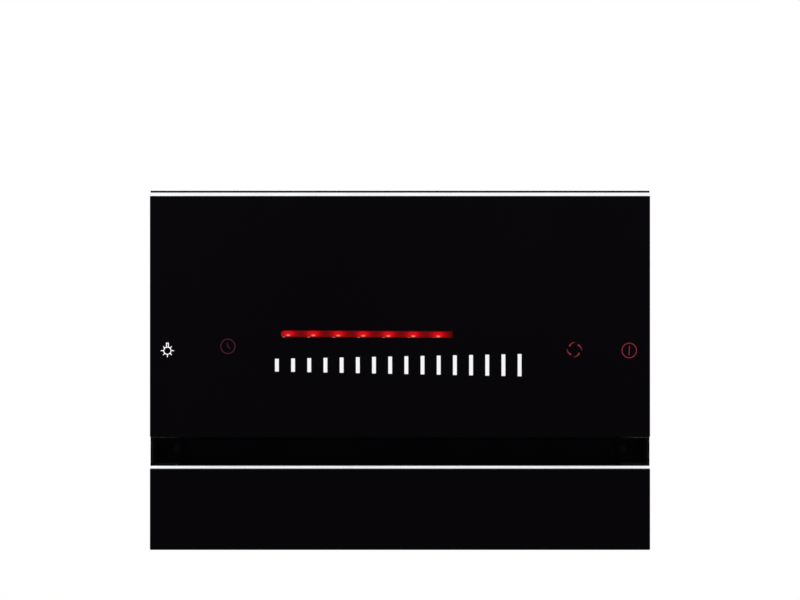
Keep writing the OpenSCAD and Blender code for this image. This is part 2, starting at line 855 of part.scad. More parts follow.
// Expanded metal of the filter: a grid of diamonds over a packed core
mesh_cols = 24;
mesh_rows = 10;
mesh_bar = 0.9;
mesh_inset = 2;
mesh_edge = 2;
module filter_mesh() {
    w = filter_w - 2 * filter_bar;
    h = filter_h - 2 * filter_bar;
    middle = filter_top - filter_h / 2;
    cell_w = (w - 2 * mesh_edge) / mesh_cols;
    cell_h = (h - 2 * mesh_edge) / mesh_rows;
    face_t = 1;
    root_t = 0.3;
    color([0.68, 0.69, 0.71]) {
        front_plate(filter_y + mesh_inset, face_t + root_t) difference() {
            translate([0, middle]) square([w, h], center = true);
            for (i = [0:mesh_cols - 1])
                for (j = [0:mesh_rows - 1])
                    translate([(i + 0.5 - mesh_cols / 2) * cell_w, middle + (j + 0.5 - mesh_rows / 2) * cell_h])
                        polygon([
                            [-cell_w / 2 + mesh_bar, 0], [0, cell_h / 2 - mesh_bar * 0.6],
                            [cell_w / 2 - mesh_bar, 0], [0, -cell_h / 2 + mesh_bar * 0.6]
                        ]);
        }
        front_box(0, filter_y + mesh_inset + face_t, middle + h / 2, [w, filter_t - 2 * mesh_inset - face_t, h]);
    }
}

// Latch of the filter: a tongue that slides down out of its keeper
tongue_w = 20;
tongue_t = 1.6;
tongue_y = filter_y - 3;
housing_w = 64;
housing_h = 34;
housing_t = 5;
housing_top = filter_top - 1;
tongue_top = filter_top + 10;
tongue_len = 26;
keeper_z = tongue_top - 2;
keeper_h = latch_travel - 2.5;
knob_w = 12;
knob_h = 7;
knob_z = housing_top - 8;
module filter_latch_housing() {
    slot_h = tongue_len - (tongue_top - housing_top) + latch_travel + 1;
    color([0.09, 0.09, 0.1]) difference() {
        front_box(0, filter_y - housing_t, housing_top, [housing_w, housing_t, housing_h]);
        front_box(0, tongue_y - slide_play, housing_top + cut,
            [tongue_w + 2 * slide_play, tongue_t + 2 * slide_play, slot_h + cut]);
        front_box(0, filter_y - housing_t - cut, knob_z + slide_play,
            [knob_w + 2 * slide_play, housing_t - (filter_y - tongue_y) + slide_play + cut + 0.01,
             knob_h + latch_travel + 2 * slide_play]);
    }
}

// Tongue and finger pull of the latch
module filter_latch() {
    knob_y = filter_y - housing_t - 5;
    color([0.14, 0.14, 0.15]) {
        front_box(0, tongue_y, tongue_top, [tongue_w, tongue_t, tongue_len]);
        front_box(0, knob_y, knob_z, [knob_w, tongue_y + tongue_t / 2 - knob_y, knob_h]);
    }
}

// Bridge on the bulkhead that the tongue hooks into
module filter_latch_keeper() {
    bridge_y = tongue_y - slide_play - plate_t;
    foot_w = 5;
    color([0.55, 0.55, 0.57]) {
        front_box(0, bridge_y, keeper_z, [tongue_w + 2 * slide_play + 2 * foot_w, plate_t, keeper_h]);
        for (side = [-1, 1])
            front_box(side * (tongue_w / 2 + slide_play + foot_w / 2), bridge_y, keeper_z,
                [foot_w, bulk_y - bridge_y, keeper_h]);
    }
}

// Outline of the scroll seen from the side, grown by an amount, with its outlet neck up to the cover
spiral_steps = 54;
function spiral_r(turn) = scroll_r0 + (scroll_r1 - scroll_r0) * (turn - 90) / 270;
module scroll_outline(grow) {
    top = roof_z - scroll_z + (grow < 0 ? cut : 0);
    polygon(concat(
        [for (i = [0:spiral_steps])
            let (turn = 90 + 270 * i / spiral_steps, r = spiral_r(turn) + grow)
            [scroll_y - r * cos(turn), scroll_z + r * sin(turn)]],
        [[scroll_y - scroll_r1 - grow, scroll_z + top], [scroll_y + grow, scroll_z + top]]
    ));
}

// One moulded half of the scroll, with its round inlet and its share of the flange under the top cover
inlet_r = wheel_r - 8;
wheel_bore = wheel_r - 12;
scroll_flange_r = collar_bore + 6;
module scroll_half(side) {
    color([0.2, 0.2, 0.21]) difference() {
        union() {
            section(scroll_w / 2, side * scroll_w / 4) scroll_outline(0);
            wide_box(
                scroll_flange_r, neck_y - scroll_flange_r, neck_y + scroll_flange_r,
                roof_z - scroll_flange_t, roof_z, side * scroll_flange_r / 2
            );
        }
        section(scroll_w / 2, side * (scroll_w / 4 - scroll_t)) scroll_outline(-scroll_t);
        translate([side * scroll_w / 2, scroll_y, scroll_z]) cross_cylinder(inlet_r, 4 * scroll_t);
        at_collar_screws() screw_hole(collar_grip);
    }
}

// Bell-shaped rings that lead the air into the wheel
module inlet_rings() {
    lip = 5;
    color([0.25, 0.25, 0.26]) for (side = [-1, 1]) translate([side * scroll_w / 2, scroll_y, scroll_z])
        rotate([0, side * 90, 0]) rotate_extrude() {
            translate([inlet_r - 1.6, -scroll_t - 1]) square([1.6, scroll_t + 1]);
            translate([inlet_r - 1.6, 0]) square([lip, 1.4]);
            translate([inlet_r - 1.6 + lip, 1.4 - 0.7]) circle(r = 0.7);
        }
}

// Fan wheel: a disc, two end rings and forward-curved blades
module fan_wheel() {
    disc_t = 2;
    ring_t = 2;
    blade_t = 1.2;
    depth = wheel_r - 1 - wheel_bore;
    color([0.3, 0.3, 0.31]) translate([0, scroll_y, scroll_z]) rotate([0, 90, 0]) difference() {
        union() {
            cylinder(r = wheel_r - 0.5, h = disc_t, center = true);
            translate([0, 0, -9]) cylinder(r = shaft_r + 5, h = 9);
            for (end = [-1, 1])
                translate([0, 0, end * (wheel_w - ring_t) / 2]) difference() {
                    cylinder(r = wheel_r, h = ring_t, center = true);
                    cylinder(r = wheel_bore + 1, h = 2 * ring_t, center = true);
                }
            for (i = [0:blade_n - 1])
                rotate([0, 0, i * 360 / blade_n]) translate([wheel_bore, 0, 0]) rotate([0, 0, 28])
                    translate([0, -blade_t / 2, -wheel_w / 2 + 0.5]) cube([depth * 1.05, blade_t, wheel_w - 1]);
        }
        cylinder(r = shaft_r, h = wheel_w, center = true);
    }
}

// Motor in the right-hand inlet of the scroll
motor_x0 = 6;
motor_out = 12;
motor_x1 = scroll_w / 2 + motor_out;
rotor_r = motor_r * 0.62;
shaft_tail = 12;
rotor_gap = 8;
motor_wall = 4;
module motor_axis() {
    translate([0, scroll_y, scroll_z]) rotate([0, 90, 0]) children();
}
module motor_shaft() {
    color([0.7, 0.7, 0.72]) motor_axis() translate([0, 0, -shaft_tail]) cylinder(r = shaft_r, h = motor_x1 + shaft_tail - 1);
}
module motor_rotor() {
    color([0.5, 0.5, 0.52]) motor_axis() difference() {
        translate([0, 0, motor_x0 + rotor_gap]) cylinder(r = rotor_r, h = motor_x1 - motor_x0 - 2 * rotor_gap);
        translate([0, 0, motor_x0]) cylinder(r = shaft_r, h = motor_x1);
    }
}
module motor_body() {
    color([0.4, 0.4, 0.42]) motor_axis() difference() {
        translate([0, 0, motor_x0]) cylinder(r = motor_r, h = motor_x1 - motor_x0);
        translate([0, 0, motor_x0 + motor_wall])
            cylinder(r = rotor_r + 1, h = motor_x1 - motor_x0 - 2 * motor_wall);
        translate([0, 0, motor_x0 - cut]) cylinder(r = shaft_r + pin_play, h = motor_x1);
    }
}

// Three-armed bracket of the motor on its rubber mounts
mount_r = 5;
mount_gap = 1;
mount_at = wheel_r + mount_r + mount_gap;
mount_turns = [30, 150, 270];
module motor_bracket() {
    arm_t = 2.5;
    arm_w = 1.4 * mount_r;
    color([0.55, 0.55, 0.57]) motor_axis() translate([0, 0, motor_x1]) linear_extrude(arm_t) {
        circle(r = motor_r * 0.8);
        for (turn = mount_turns)
            rotate(turn + 90) {
                translate([0, -arm_w / 2]) square([mount_at, arm_w]);
                translate([mount_at, 0]) circle(r = mount_r);
            }
    }
}
module motor_mounts() {
    color([0.03, 0.03, 0.03]) motor_axis() for (turn = mount_turns)
        rotate([0, 0, turn + 90]) translate([mount_at, 0, scroll_w / 2])
            cylinder(r = mount_r, h = motor_x1 - scroll_w / 2);
}

// Capacitor of the motor, lying on the bottom panel
cap_r = 14;
cap_len = 56;
cap_gap = 12;
module motor_capacitor() {
    color([0.8, 0.8, 0.8]) translate([lamp_gap * 0.17, -sheet_t - cap_r - cap_gap, floor_z + cap_r])
        cross_cylinder(cap_r, cap_len);
}

// Duct collar with its foot, and the ledge and the centre bar of its two flaps
flap_lift = 14;
flap_z = casing_top + flap_lift;
flap_x = 5;
flap_pin_r = 2;
flap_boss_r = 2.6;
ledge_w = 6;
flap_r = collar_bore - 1.2;
module duct_collar() {
    color([0.07, 0.07, 0.075]) translate([0, collar_y, 0]) difference() {
        union() {
            translate([0, 0, collar_base]) cylinder(r = collar_r + collar_foot, h = collar_foot_t);
            translate([0, 0, collar_base]) cylinder(r = collar_r, h = casing_top + collar_h - collar_base);
        }
        difference() {
            translate([0, 0, collar_base - cut]) cylinder(r = collar_bore, h = collar_h + 2 * cut);
            translate([0, 0, flap_z - flap_t / 2 - slide_play - 1.6]) difference() {
                cylinder(r = collar_bore + 0.5, h = 1.6);
                translate([0, 0, -cut]) cylinder(r = collar_bore - ledge_w, h = 1.6 + 2 * cut);
            }
            translate([-flap_x + flap_boss_r + slide_play, -collar_bore - 0.5, flap_z - 5])
                cube([2 * (flap_x - flap_boss_r - slide_play), 2 * collar_bore + 1, 8]);
        }
        for (side = [-1, 1])
            translate([side * flap_x, 0, flap_z]) rotate([90, 0, 0])
                cylinder(r = flap_pin_r + pin_play, h = 2 * collar_r - 1.4, center = true);
    }
}

// Ring that clamps the foot of the collar down on its gasket
module collar_clamp_ring() {
    color([0.045, 0.045, 0.05]) translate([0, collar_y, collar_base]) difference() {
        cylinder(r = collar_flange_r, h = collar_flange_t);
        translate([0, 0, -cut]) cylinder(r = collar_r + ring_gap, h = collar_flange_t + 2 * cut);
        translate([0, 0, -cut]) cylinder(r = collar_r + collar_foot + ring_play, h = collar_foot_t + cut);
        translate([0, -collar_y, -collar_base]) at_collar_screws() screw_hole(collar_grip);
    }
}

// Foam ring under the collar
module collar_gasket() {
    color([0.03, 0.03, 0.03]) translate([0, collar_y, casing_top]) difference() {
        cylinder(r = collar_flange_r - 1.5, h = gasket_t);
        translate([0, 0, -cut]) cylinder(r = collar_r - 1, h = gasket_t + 2 * cut);
        translate([0, -collar_y, -casing_top]) at_collar_screws() screw_hole(collar_grip);
    }
}
module collar_screws() {
    color([0.6, 0.6, 0.62]) at_collar_screws() screw(collar_grip);
}

// Half-round flap with its pin: side is -1 on the left and 1 on the right
module damper_flap(side) {
    color([0.12, 0.12, 0.13]) translate([0, collar_y, flap_z]) {
        translate([0, 0, -flap_t / 2]) linear_extrude(flap_t) intersection() {
            circle(r = flap_r);
            translate([side > 0 ? flap_x : -flap_x - flap_r, -flap_r]) square([flap_r, 2 * flap_r]);
        }
        translate([side * flap_x, 0, 0]) rotate([90, 0, 0]) {
            cylinder(r = flap_pin_r, h = 2 * collar_bore + 1.4, center = true);
            cylinder(r = flap_boss_r, h = 2 * (collar_bore - ledge_w) - 2, center = true);
        }
    }
}

// Box of the control electronics, on the bottom panel
box_w = 110;
box_d = 58;
box_h = 34;
box_t = 2;
box_gap = 4;
box_x = -inner_w / 2 + flange_room + box_w / 2 + box_gap;
box_y = -sheet_t - bead_d - box_gap;
module control_box() {
    color([0.8, 0.8, 0.78]) difference() {
        wide_box(box_w, box_y - box_d, box_y, floor_z, floor_z + box_h, box_x);
        wide_box(box_w - 2 * box_t, box_y - box_d + box_t, box_y - box_t,
            floor_z + box_t, floor_z + box_h + cut, box_x);
    }
}
module control_box_lid() {
    color([0.8, 0.8, 0.78]) wide_box(box_w, box_y - box_d, box_y, floor_z + box_h, floor_z + box_h + box_t, box_x);
}
power_gap = 1;
coil_w = 30;
coil_d = 22;
coil_h = 24;
coil_x = 26;
relay_w = 18;
relay_d = 18;
relay_h = 14;
relay_x = 12;
power_room = 12;
module power_board() {
    base = floor_z + box_t;
    front = box_y - box_d + box_t;
    color([0.05, 0.22, 0.1]) {
        wide_box(box_w - 2 * box_t - 2 * power_gap, front + power_gap, box_y - box_t - power_gap,
            base, base + board_t, box_x);
        wide_box(coil_w, front + power_room, front + power_room + coil_d, base + board_t / 2, base + coil_h,
            box_x - coil_x);
        wide_box(relay_w, front + power_room, front + power_room + relay_d, base + board_t / 2, base + relay_h,
            box_x + relay_x);
    }
}

// Gland that the mains lead enters by, with the lead left out
gland_neck = 14;
gland_nut = 6;
gland_tail = 8;
gland_key = 3;
module cable_gland() {
    color([0.05, 0.05, 0.05]) translate([gland_x, gland_y, 0]) difference() {
        union() {
            translate([0, 0, casing_top]) cylinder(r = gland_r + gland_key, h = gland_nut, $fn = 6);
            translate([0, 0, roof_z - gland_tail]) cylinder(r = gland_r, h = gland_tail + sheet_t);
            translate([0, 0, casing_top + gland_nut]) cylinder(r = gland_r - 1, h = gland_neck - gland_nut);
            translate([0, 0, roof_z - gland_nut]) cylinder(r = gland_r + gland_key, h = gland_nut, $fn = 6);
        }
        translate([0, 0, roof_z - gland_tail - cut])
            cylinder(r = gland_bore, h = gland_neck + gland_tail + sheet_t + 2 * cut);
    }
}

// Lamps: body above the panel, ring below it and a frosted lens in the ring
module lamp_bodies() {
    color([0.6, 0.6, 0.62]) at_lamps() difference() {
        cylinder(r = lamp_r, h = lamp_h);
        translate([0, 0, -cut]) cylinder(r = lens_r, h = lamp_h - 4 + cut);
        for (groove = [8:4:lamp_h - 4])
            translate([0, 0, groove]) difference() {
                cylinder(r = lamp_r + cut, h = 1.6);
                cylinder(r = lens_r + 1.2, h = 1.6);
            }
    }
}
module lamp_bezels() {
    color([0.7, 0.7, 0.72]) at_lamps() translate([0, 0, -bezel_t]) difference() {
        cylinder(r = bezel_r, h = bezel_t);
        translate([0, 0, -cut]) cylinder(r = lens_r, h = bezel_t + 2 * cut);
    }
}
module lamp_lenses() {
    color([0.9, 0.9, 0.88]) at_lamps() translate([0, 0, -bezel_t + 0.4]) cylinder(r = lens_r, h = 3);
}

side_panel(-1);  // left_side_panel
side_panel(1);  // right_side_panel
top_cover();
back_panel();
bottom_panel();
filter_bulkhead();
casing_screws();
lower_glass();
lower_bright_strip();
lower_glass_carrier();
slot_end_caps();
upper_glass();
door_pan();
door_top_cap();
door_bright_strip();
door_hinge_leaves();
hinge_leaf_screws();
door_strikers();
touch_board();
level_light_guide();
level_diodes();
level_light_bar();
slider_marks();
lamp_symbol();
timer_symbol();
air_symbol();
power_symbol();
hinge_brackets();
hinge_pins();
hinge_bracket_screws();
catch_magnets();
door_buffers();
filter_frame();
filter_mesh();
filter_latch_housing();
filter_latch();
filter_latch_keeper();
scroll_half(-1);  // scroll_left
scroll_half(1);  // scroll_right
inlet_rings();
fan_wheel();
motor_shaft();
motor_rotor();
motor_body();
motor_bracket();
motor_mounts();
motor_capacitor();
duct_collar();
collar_clamp_ring();
collar_gasket();
collar_screws();
damper_flap(-1);  // damper_flap_left
damper_flap(1);  // damper_flap_right
control_box();
control_box_lid();
power_board();
cable_gland();
lamp_bodies();
lamp_bezels();
lamp_lenses();
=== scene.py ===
"""The looks of a wall-mounted range hood with a leaning black glass front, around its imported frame."""
import json
import math

import bmesh
import bpy
from mathutils import Euler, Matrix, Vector


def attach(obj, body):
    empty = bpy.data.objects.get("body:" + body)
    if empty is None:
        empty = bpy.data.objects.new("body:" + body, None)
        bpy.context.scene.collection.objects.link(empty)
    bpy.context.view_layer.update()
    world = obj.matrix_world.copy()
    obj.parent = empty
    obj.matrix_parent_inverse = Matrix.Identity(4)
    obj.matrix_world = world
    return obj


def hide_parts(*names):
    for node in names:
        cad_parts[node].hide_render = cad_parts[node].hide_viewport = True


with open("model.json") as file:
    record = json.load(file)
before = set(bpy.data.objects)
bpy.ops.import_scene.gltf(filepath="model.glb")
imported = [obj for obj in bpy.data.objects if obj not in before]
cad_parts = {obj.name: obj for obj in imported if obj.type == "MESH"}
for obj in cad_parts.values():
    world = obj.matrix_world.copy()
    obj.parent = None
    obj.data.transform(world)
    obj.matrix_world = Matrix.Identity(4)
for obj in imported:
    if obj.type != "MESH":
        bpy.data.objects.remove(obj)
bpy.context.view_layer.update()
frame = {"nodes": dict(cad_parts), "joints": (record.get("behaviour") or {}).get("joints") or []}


# Camera: square to the leaning glass and above its middle, as the photograph is taken. It stands
# as far back as it can without the underside of the casing showing below the lower glass.
MM = 0.001
CAMERA_DISTANCE = 1030 * MM
CAMERA_BELOW_TOP = 109.1 * MM
HALF_WIDTH_SEEN = 399.75 * MM

across = Vector((1, 0, 0))
down_slope = Vector(next(j for j in frame["joints"] if j["name"] == "latch_slide")["axis"]).normalized()
into_wall = Vector((0, -down_slope.z, down_slope.y))
lean = math.atan2(into_wall.z, into_wall.y)


def reach(node, axis):
    """How far a CAD node reaches along an axis, from its nearest to its furthest point."""
    places = [vertex.co.dot(axis) for vertex in frame["nodes"][node].data.vertices]
    return min(places), max(places)


front_face = reach("upper_glass", into_wall)[0]
top_edge = reach("door_top_cap", down_slope)[0]
camera = bpy.data.objects.new("camera", bpy.data.cameras.new("camera"))
bpy.context.collection.objects.link(camera)
camera.location = (into_wall * (front_face - CAMERA_DISTANCE)
                   + down_slope * (top_edge + CAMERA_BELOW_TOP))
camera.rotation_euler = Euler((math.pi / 2 + lean, 0, 0))
camera.data.sensor_fit = "HORIZONTAL"
camera.data.angle = 2 * math.atan(HALF_WIDTH_SEEN / CAMERA_DISTANCE)
bpy.context.scene.camera = camera
bpy.context.scene.view_settings.view_transform = "Standard"


# Studio: white paper behind and above the hood, and an unlit room behind the camera, which is all
# that the black glass reflects. Three soft lamps above and beside the hood bring out its edges.
ROOM_NEAR_FLOOR = 0.02
ROOM_AT_EYE = 0.034
ROOM_SIDES = 0.16
PAPER_LIGHT = 0.74
# A ray's way runs from about -1.5, into the dark room, to above 0.1, up to the lit paper.
WAY_DEPTH = 1.15
EYE_WAYS = (-1.5, -1.27)
PAPER_WAYS = (-1.0, 0.1)
WALL_WAYS = (0.38, 0.95)
SOFTBOX_MIDDLE = 3.3


def srgb(code):
    """A colour written as #RRGGBB, as the linear colour that the shaders take."""
    parts = [int(code[i:i + 2], 16) / 255 for i in (1, 3, 5)]
    return tuple(p / 12.92 if p <= 0.04045 else ((p + 0.055) / 1.055) ** 2.4 for p in parts) + (1.0,)


def add_node(tree, kind, values=None, **settings):
    """Adds a node with its settings. A value that is a socket is linked, and any other is set."""
    made = tree.nodes.new(kind)
    for name, value in settings.items():
        setattr(made, name, value)
    for name, value in (values or {}).items():
        if isinstance(value, bpy.types.NodeSocket):
            tree.links.new(value, made.inputs[name])
        else:
            made.inputs[name].default_value = value
    return made


world = bpy.data.worlds.new("studio")
bpy.context.scene.world = world
world.use_nodes = True
sky = world.node_tree
sky.nodes.clear()
ray = add_node(sky, "ShaderNodeLightPath")
where = add_node(sky, "ShaderNodeTexCoord")
axes = add_node(sky, "ShaderNodeSeparateXYZ", {0: where.outputs["Generated"]})
way = add_node(sky, "ShaderNodeMath", {0: axes.outputs["Y"], 1: WAY_DEPTH, 2: axes.outputs["Z"]},
               operation="MULTIPLY_ADD")
dusk = add_node(sky, "ShaderNodeMapRange", {"Value": way.outputs[0], "From Min": EYE_WAYS[0],
                                            "From Max": EYE_WAYS[1], "To Min": ROOM_NEAR_FLOOR,
                                            "To Max": ROOM_AT_EYE})
dawn = add_node(sky, "ShaderNodeMapRange", {"Value": way.outputs[0], "From Min": PAPER_WAYS[0],
                                            "From Max": PAPER_WAYS[1], "To Max": 1 - ROOM_AT_EYE},
                interpolation_type="SMOOTHERSTEP")
# The walls to the left and right of the room are paler, outside what the glass shows to the camera.
aside = add_node(sky, "ShaderNodeMath", {0: axes.outputs["X"]}, operation="ABSOLUTE")
walls = add_node(sky, "ShaderNodeMapRange", {"Value": aside.outputs[0], "From Min": WALL_WAYS[0],
                                             "From Max": WALL_WAYS[1], "To Max": ROOM_SIDES},
                 interpolation_type="SMOOTHSTEP")
ahead = add_node(sky, "ShaderNodeMath", {0: dusk.outputs[0], 1: walls.outputs[0]}, operation="ADD")
mirrored = add_node(sky, "ShaderNodeMath", {0: ahead.outputs[0], 1: dawn.outputs[0]}, operation="ADD")
white = add_node(sky, "ShaderNodeBackground", {"Color": srgb("#FFFFFF"), "Strength": 1.0})
room = add_node(sky, "ShaderNodeBackground", {"Color": srgb("#FFFFFF"), "Strength": mirrored.outputs[0]})
fill = add_node(sky, "ShaderNodeBackground", {"Color": srgb("#FCFDFF"), "Strength": PAPER_LIGHT})
straight = add_node(sky, "ShaderNodeMath", {0: ray.outputs["Is Camera Ray"],
                                            1: ray.outputs["Is Transmission Ray"]}, operation="MAXIMUM")
bounced = add_node(sky, "ShaderNodeMixShader", {0: ray.outputs["Is Glossy Ray"], 1: fill.outputs[0],
                                                2: room.outputs[0]})
seen = add_node(sky, "ShaderNodeMixShader", {0: straight.outputs[0], 1: bounced.outputs[0],
                                             2: white.outputs[0]})
add_node(sky, "ShaderNodeOutputWorld", {"Surface": seen.outputs[0]})

hood_middle = Vector((0, -0.15, 0))
for name, place, size, power in (("softbox_left", (-1.5, -1.3, 1.6), 1.4, 16),
                                 ("softbox_right", (1.7, -0.7, 1.2), 1.4, 9),
                                 ("softbox_back", (0.4, 1.6, 1.5), 1.6, 12)):
    lamp = bpy.data.lights.new(name, "AREA")
    lamp.shape = "DISK"
    lamp.size = size
    lamp.energy = power
    # The cloth of a softbox is brightest in its middle and goes out softly at its rim.
    lamp.use_nodes = True
    cloth = lamp.node_tree
    spot = add_node(cloth, "ShaderNodeNewGeometry").outputs["Parametric"]
    off_middle = add_node(cloth, "ShaderNodeVectorMath", {0: spot, 1: (0.5, 0.5, 0.0)},
                          operation="DISTANCE")
    fading = add_node(cloth, "ShaderNodeMapRange", {"Value": off_middle.outputs["Value"], "From Max": 0.5,
                                                    "To Min": SOFTBOX_MIDDLE, "To Max": 0.0},
                      interpolation_type="SMOOTHSTEP")
    emission = next(node for node in cloth.nodes if node.type == "EMISSION")
    cloth.links.new(fading.outputs[0], emission.inputs["Strength"])
    holder = bpy.data.objects.new(name, lamp)
    bpy.context.collection.objects.link(holder)
    holder.location = place
    holder.rotation_euler = (Vector(place) - hood_middle).to_track_quat("Z", "Y").to_euler()


# Floor: a round sheet of pale matt paper a metre under the hood, which hangs on a wall at eye height.
# Its rim goes over into the white around it, and in reflections into the dark of the room.
FLOOR_HEIGHT = -1.05
FLOOR_RADIUS = 1.3
FLOOR_FADE_FROM = 0.55
# A noise texture keeps mostly between these two values.
NOISE_LOW, NOISE_HIGH = 0.3, 0.7


def surface(name, dark, light, cloud, grain, rough, relief, **shader_values):
    """A finish in two close tones, in clouds of one size, with a finer grain that dulls and raises it.

    Sizes are in millimetres, and a grain given as three runs in lines along the longest one. The
    roughness is given from its least to its most."""
    made = bpy.data.materials.new(name)
    made.use_nodes = True
    tree = made.node_tree
    tree.nodes.clear()
    shader = add_node(tree, "ShaderNodeBsdfPrincipled",
                      {key.replace("_", " "): value for key, value in shader_values.items()}, name="finish")
    add_node(tree, "ShaderNodeOutputMaterial", {"Surface": shader.outputs[0]}, name="output")
    spot = add_node(tree, "ShaderNodeTexCoord", name="place").outputs["Object"]
    clouds = add_node(tree, "ShaderNodeTexNoise", {"Vector": spot, "Scale": 1 / (cloud * MM),
                                                   "Detail": 4.0})
    spread = add_node(tree, "ShaderNodeMapRange", {"Value": clouds.outputs[0], "From Min": NOISE_LOW,
                                                   "From Max": NOISE_HIGH})
    tone = add_node(tree, "ShaderNodeMix", {0: spread.outputs[0], 6: srgb(dark), 7: srgb(light)},
                    data_type="RGBA")
    tree.links.new(tone.outputs[2], shader.inputs["Base Color"])
    sizes = grain if isinstance(grain, tuple) else (grain,) * 3
    stretch = add_node(tree, "ShaderNodeMapping", {"Vector": spot,
                                                   "Scale": [1 / (mm * MM) for mm in sizes]})
    grit = add_node(tree, "ShaderNodeTexNoise", {"Vector": stretch.outputs[0], "Scale": 1.0, "Detail": 2.0})
    dulled = add_node(tree, "ShaderNodeMapRange", {"Value": grit.outputs[0], "From Min": NOISE_LOW,
                                                   "From Max": NOISE_HIGH, "To Min": rough[0],
                                                   "To Max": rough[1]})
    tree.links.new(dulled.outputs[0], shader.inputs["Roughness"])
    raised = add_node(tree, "ShaderNodeBump", {"Height": grit.outputs[0], "Distance": relief * MM})
    tree.links.new(raised.outputs[0], shader.inputs["Normal"])
    return made


def inside(finish):
    """The node tree of a finish, its shader and the places on its surface, for nodes that build on them."""
    nodes = finish.node_tree.nodes
    return finish.node_tree, nodes["finish"], nodes["place"].outputs["Object"]


def new_object(name, mesh):
    """Turns a bmesh into an object in the scene."""
    bmesh.ops.recalc_face_normals(mesh, faces=mesh.faces)
    data = bpy.data.meshes.new(name)
    mesh.to_mesh(data)
    mesh.free()
    made = bpy.data.objects.new(name, data)
    bpy.context.collection.objects.link(made)
    return made


paper = surface("matt_background_paper", "#EEEEEC", "#F1F1EF", 4, 2, (0.85, 0.95), 0.02,
                Specular_IOR_Level=0.2)
tree, shader, spot = inside(paper)
axes = add_node(tree, "ShaderNodeSeparateXYZ", {0: spot})
flat = add_node(tree, "ShaderNodeCombineXYZ", {"X": axes.outputs["X"], "Y": axes.outputs["Y"]})
radius = add_node(tree, "ShaderNodeVectorMath", {0: flat.outputs[0]}, operation="LENGTH")
rim = add_node(tree, "ShaderNodeMapRange", {"Value": radius.outputs["Value"], "From Min": FLOOR_FADE_FROM,
                                            "From Max": FLOOR_RADIUS}, interpolation_type="SMOOTHSTEP")
ray = add_node(tree, "ShaderNodeLightPath")
looked_at = add_node(tree, "ShaderNodeMath", {0: ray.outputs["Is Camera Ray"],
                                              1: ray.outputs["Is Glossy Ray"]}, operation="MAXIMUM")
share = add_node(tree, "ShaderNodeMath", {0: rim.outputs[0], 1: looked_at.outputs[0]}, operation="MULTIPLY")
beyond = add_node(tree, "ShaderNodeBsdfTransparent")
ended = add_node(tree, "ShaderNodeMixShader", {0: share.outputs[0], 1: shader.outputs[0],
                                               2: beyond.outputs[0]})
tree.links.new(ended.outputs[0], tree.nodes["output"].inputs["Surface"])
sheet = bmesh.new()
bmesh.ops.create_circle(sheet, cap_ends=True, segments=128, radius=FLOOR_RADIUS)
floor = new_object("floor", sheet)
floor.location = (0, 0, FLOOR_HEIGHT)
floor.data.materials.append(paper)


# Casing: five folded sheets of 1.2 mm steel, powder-coated matt black and screwed along their flanges.
# The baked powder leaves an orange peel that breaks up every highlight, and dust greys the top.
# The real peel is about 1 mm, and it is drawn at 2 mm so that it shows.
POWDER_PEEL = 2.0
FOLD_RADIUS = 0.5 * MM
# Corners closer than this are one, folds flatter than the first angle are one flat, and only edges
# sharper than the second angle are rounded.
SAME_CORNER = 0.001 * MM
ONE_FLAT, ROUNDED_FROM = math.radians(0.3), math.radians(50)
DUST = "#3C3A37"
DUST_CLOUD = 35
# Dust lies only where the sheet faces upward, from this cosine on, and covers this share of it at most.
DUST_FROM, DUST_COVER = 0.75, 0.75


def dress(names, material, edge=0.0):
    """Gives CAD nodes their material, and rounds their edges by the given radius."""
    for name in names:
        node = frame["nodes"][name]
        node.data.materials.clear()
        node.data.materials.append(material)
        if edge:
            joined = node.modifiers.new("joined_corners", "WELD")
            joined.merge_threshold = SAME_CORNER
            merged = node.modifiers.new("merged_flats", "DECIMATE")
            merged.decimate_type = "DISSOLVE"
            merged.angle_limit = ONE_FLAT
            rounded = node.modifiers.new("rounded_edges", "BEVEL")
            rounded.width = edge
            rounded.segments = 2
            rounded.limit_method = "ANGLE"
            rounded.angle_limit = ROUNDED_FROM
            rounded.use_clamp_overlap = True
            evened = node.modifiers.new("evened_shading", "WEIGHTED_NORMAL")
            evened.keep_sharp = True


powder = surface("powder_coated_steel_black", "#18181A", "#202023", 90, POWDER_PEEL, (0.42, 0.58), 0.014,
                 IOR=1.5, Specular_IOR_Level=0.35)
tree, shader, spot = inside(powder)
outward = add_node(tree, "ShaderNodeNewGeometry").outputs["Normal"]
facing = add_node(tree, "ShaderNodeSeparateXYZ", {0: outward})
settled = add_node(tree, "ShaderNodeTexNoise", {"Vector": spot, "Scale": 1 / (DUST_CLOUD * MM),
                                                "Detail": 6.0})
upward = add_node(tree, "ShaderNodeMapRange", {"Value": facing.outputs["Z"], "From Min": DUST_FROM,
                                               "To Max": DUST_COVER})
film = add_node(tree, "ShaderNodeMath", {0: upward.outputs[0], 1: settled.outputs[0]}, operation="MULTIPLY")
clean = shader.inputs["Base Color"].links[0].from_socket
dusty = add_node(tree, "ShaderNodeMix", {0: film.outputs[0], 6: clean, 7: srgb(DUST)}, data_type="RGBA")
tree.links.new(dusty.outputs[2], shader.inputs["Base Color"])
dress(["left_side_panel", "right_side_panel", "top_cover", "back_panel", "bottom_panel"], powder,
      FOLD_RADIUS)


# Casing screws: pan-head sheet-metal screws, steel, zinc-plated and passivated black.
# The dark plating keeps a dull metal sheen that sets them off from the powder around them.
black_zinc = surface("black_passivated_zinc_plating", "#3A3A3C", "#525253", 3, 0.8, (0.3, 0.5), 0.01,
                     Metallic=1.0)
dress(["casing_screws"], black_zinc, 0.12 * MM)


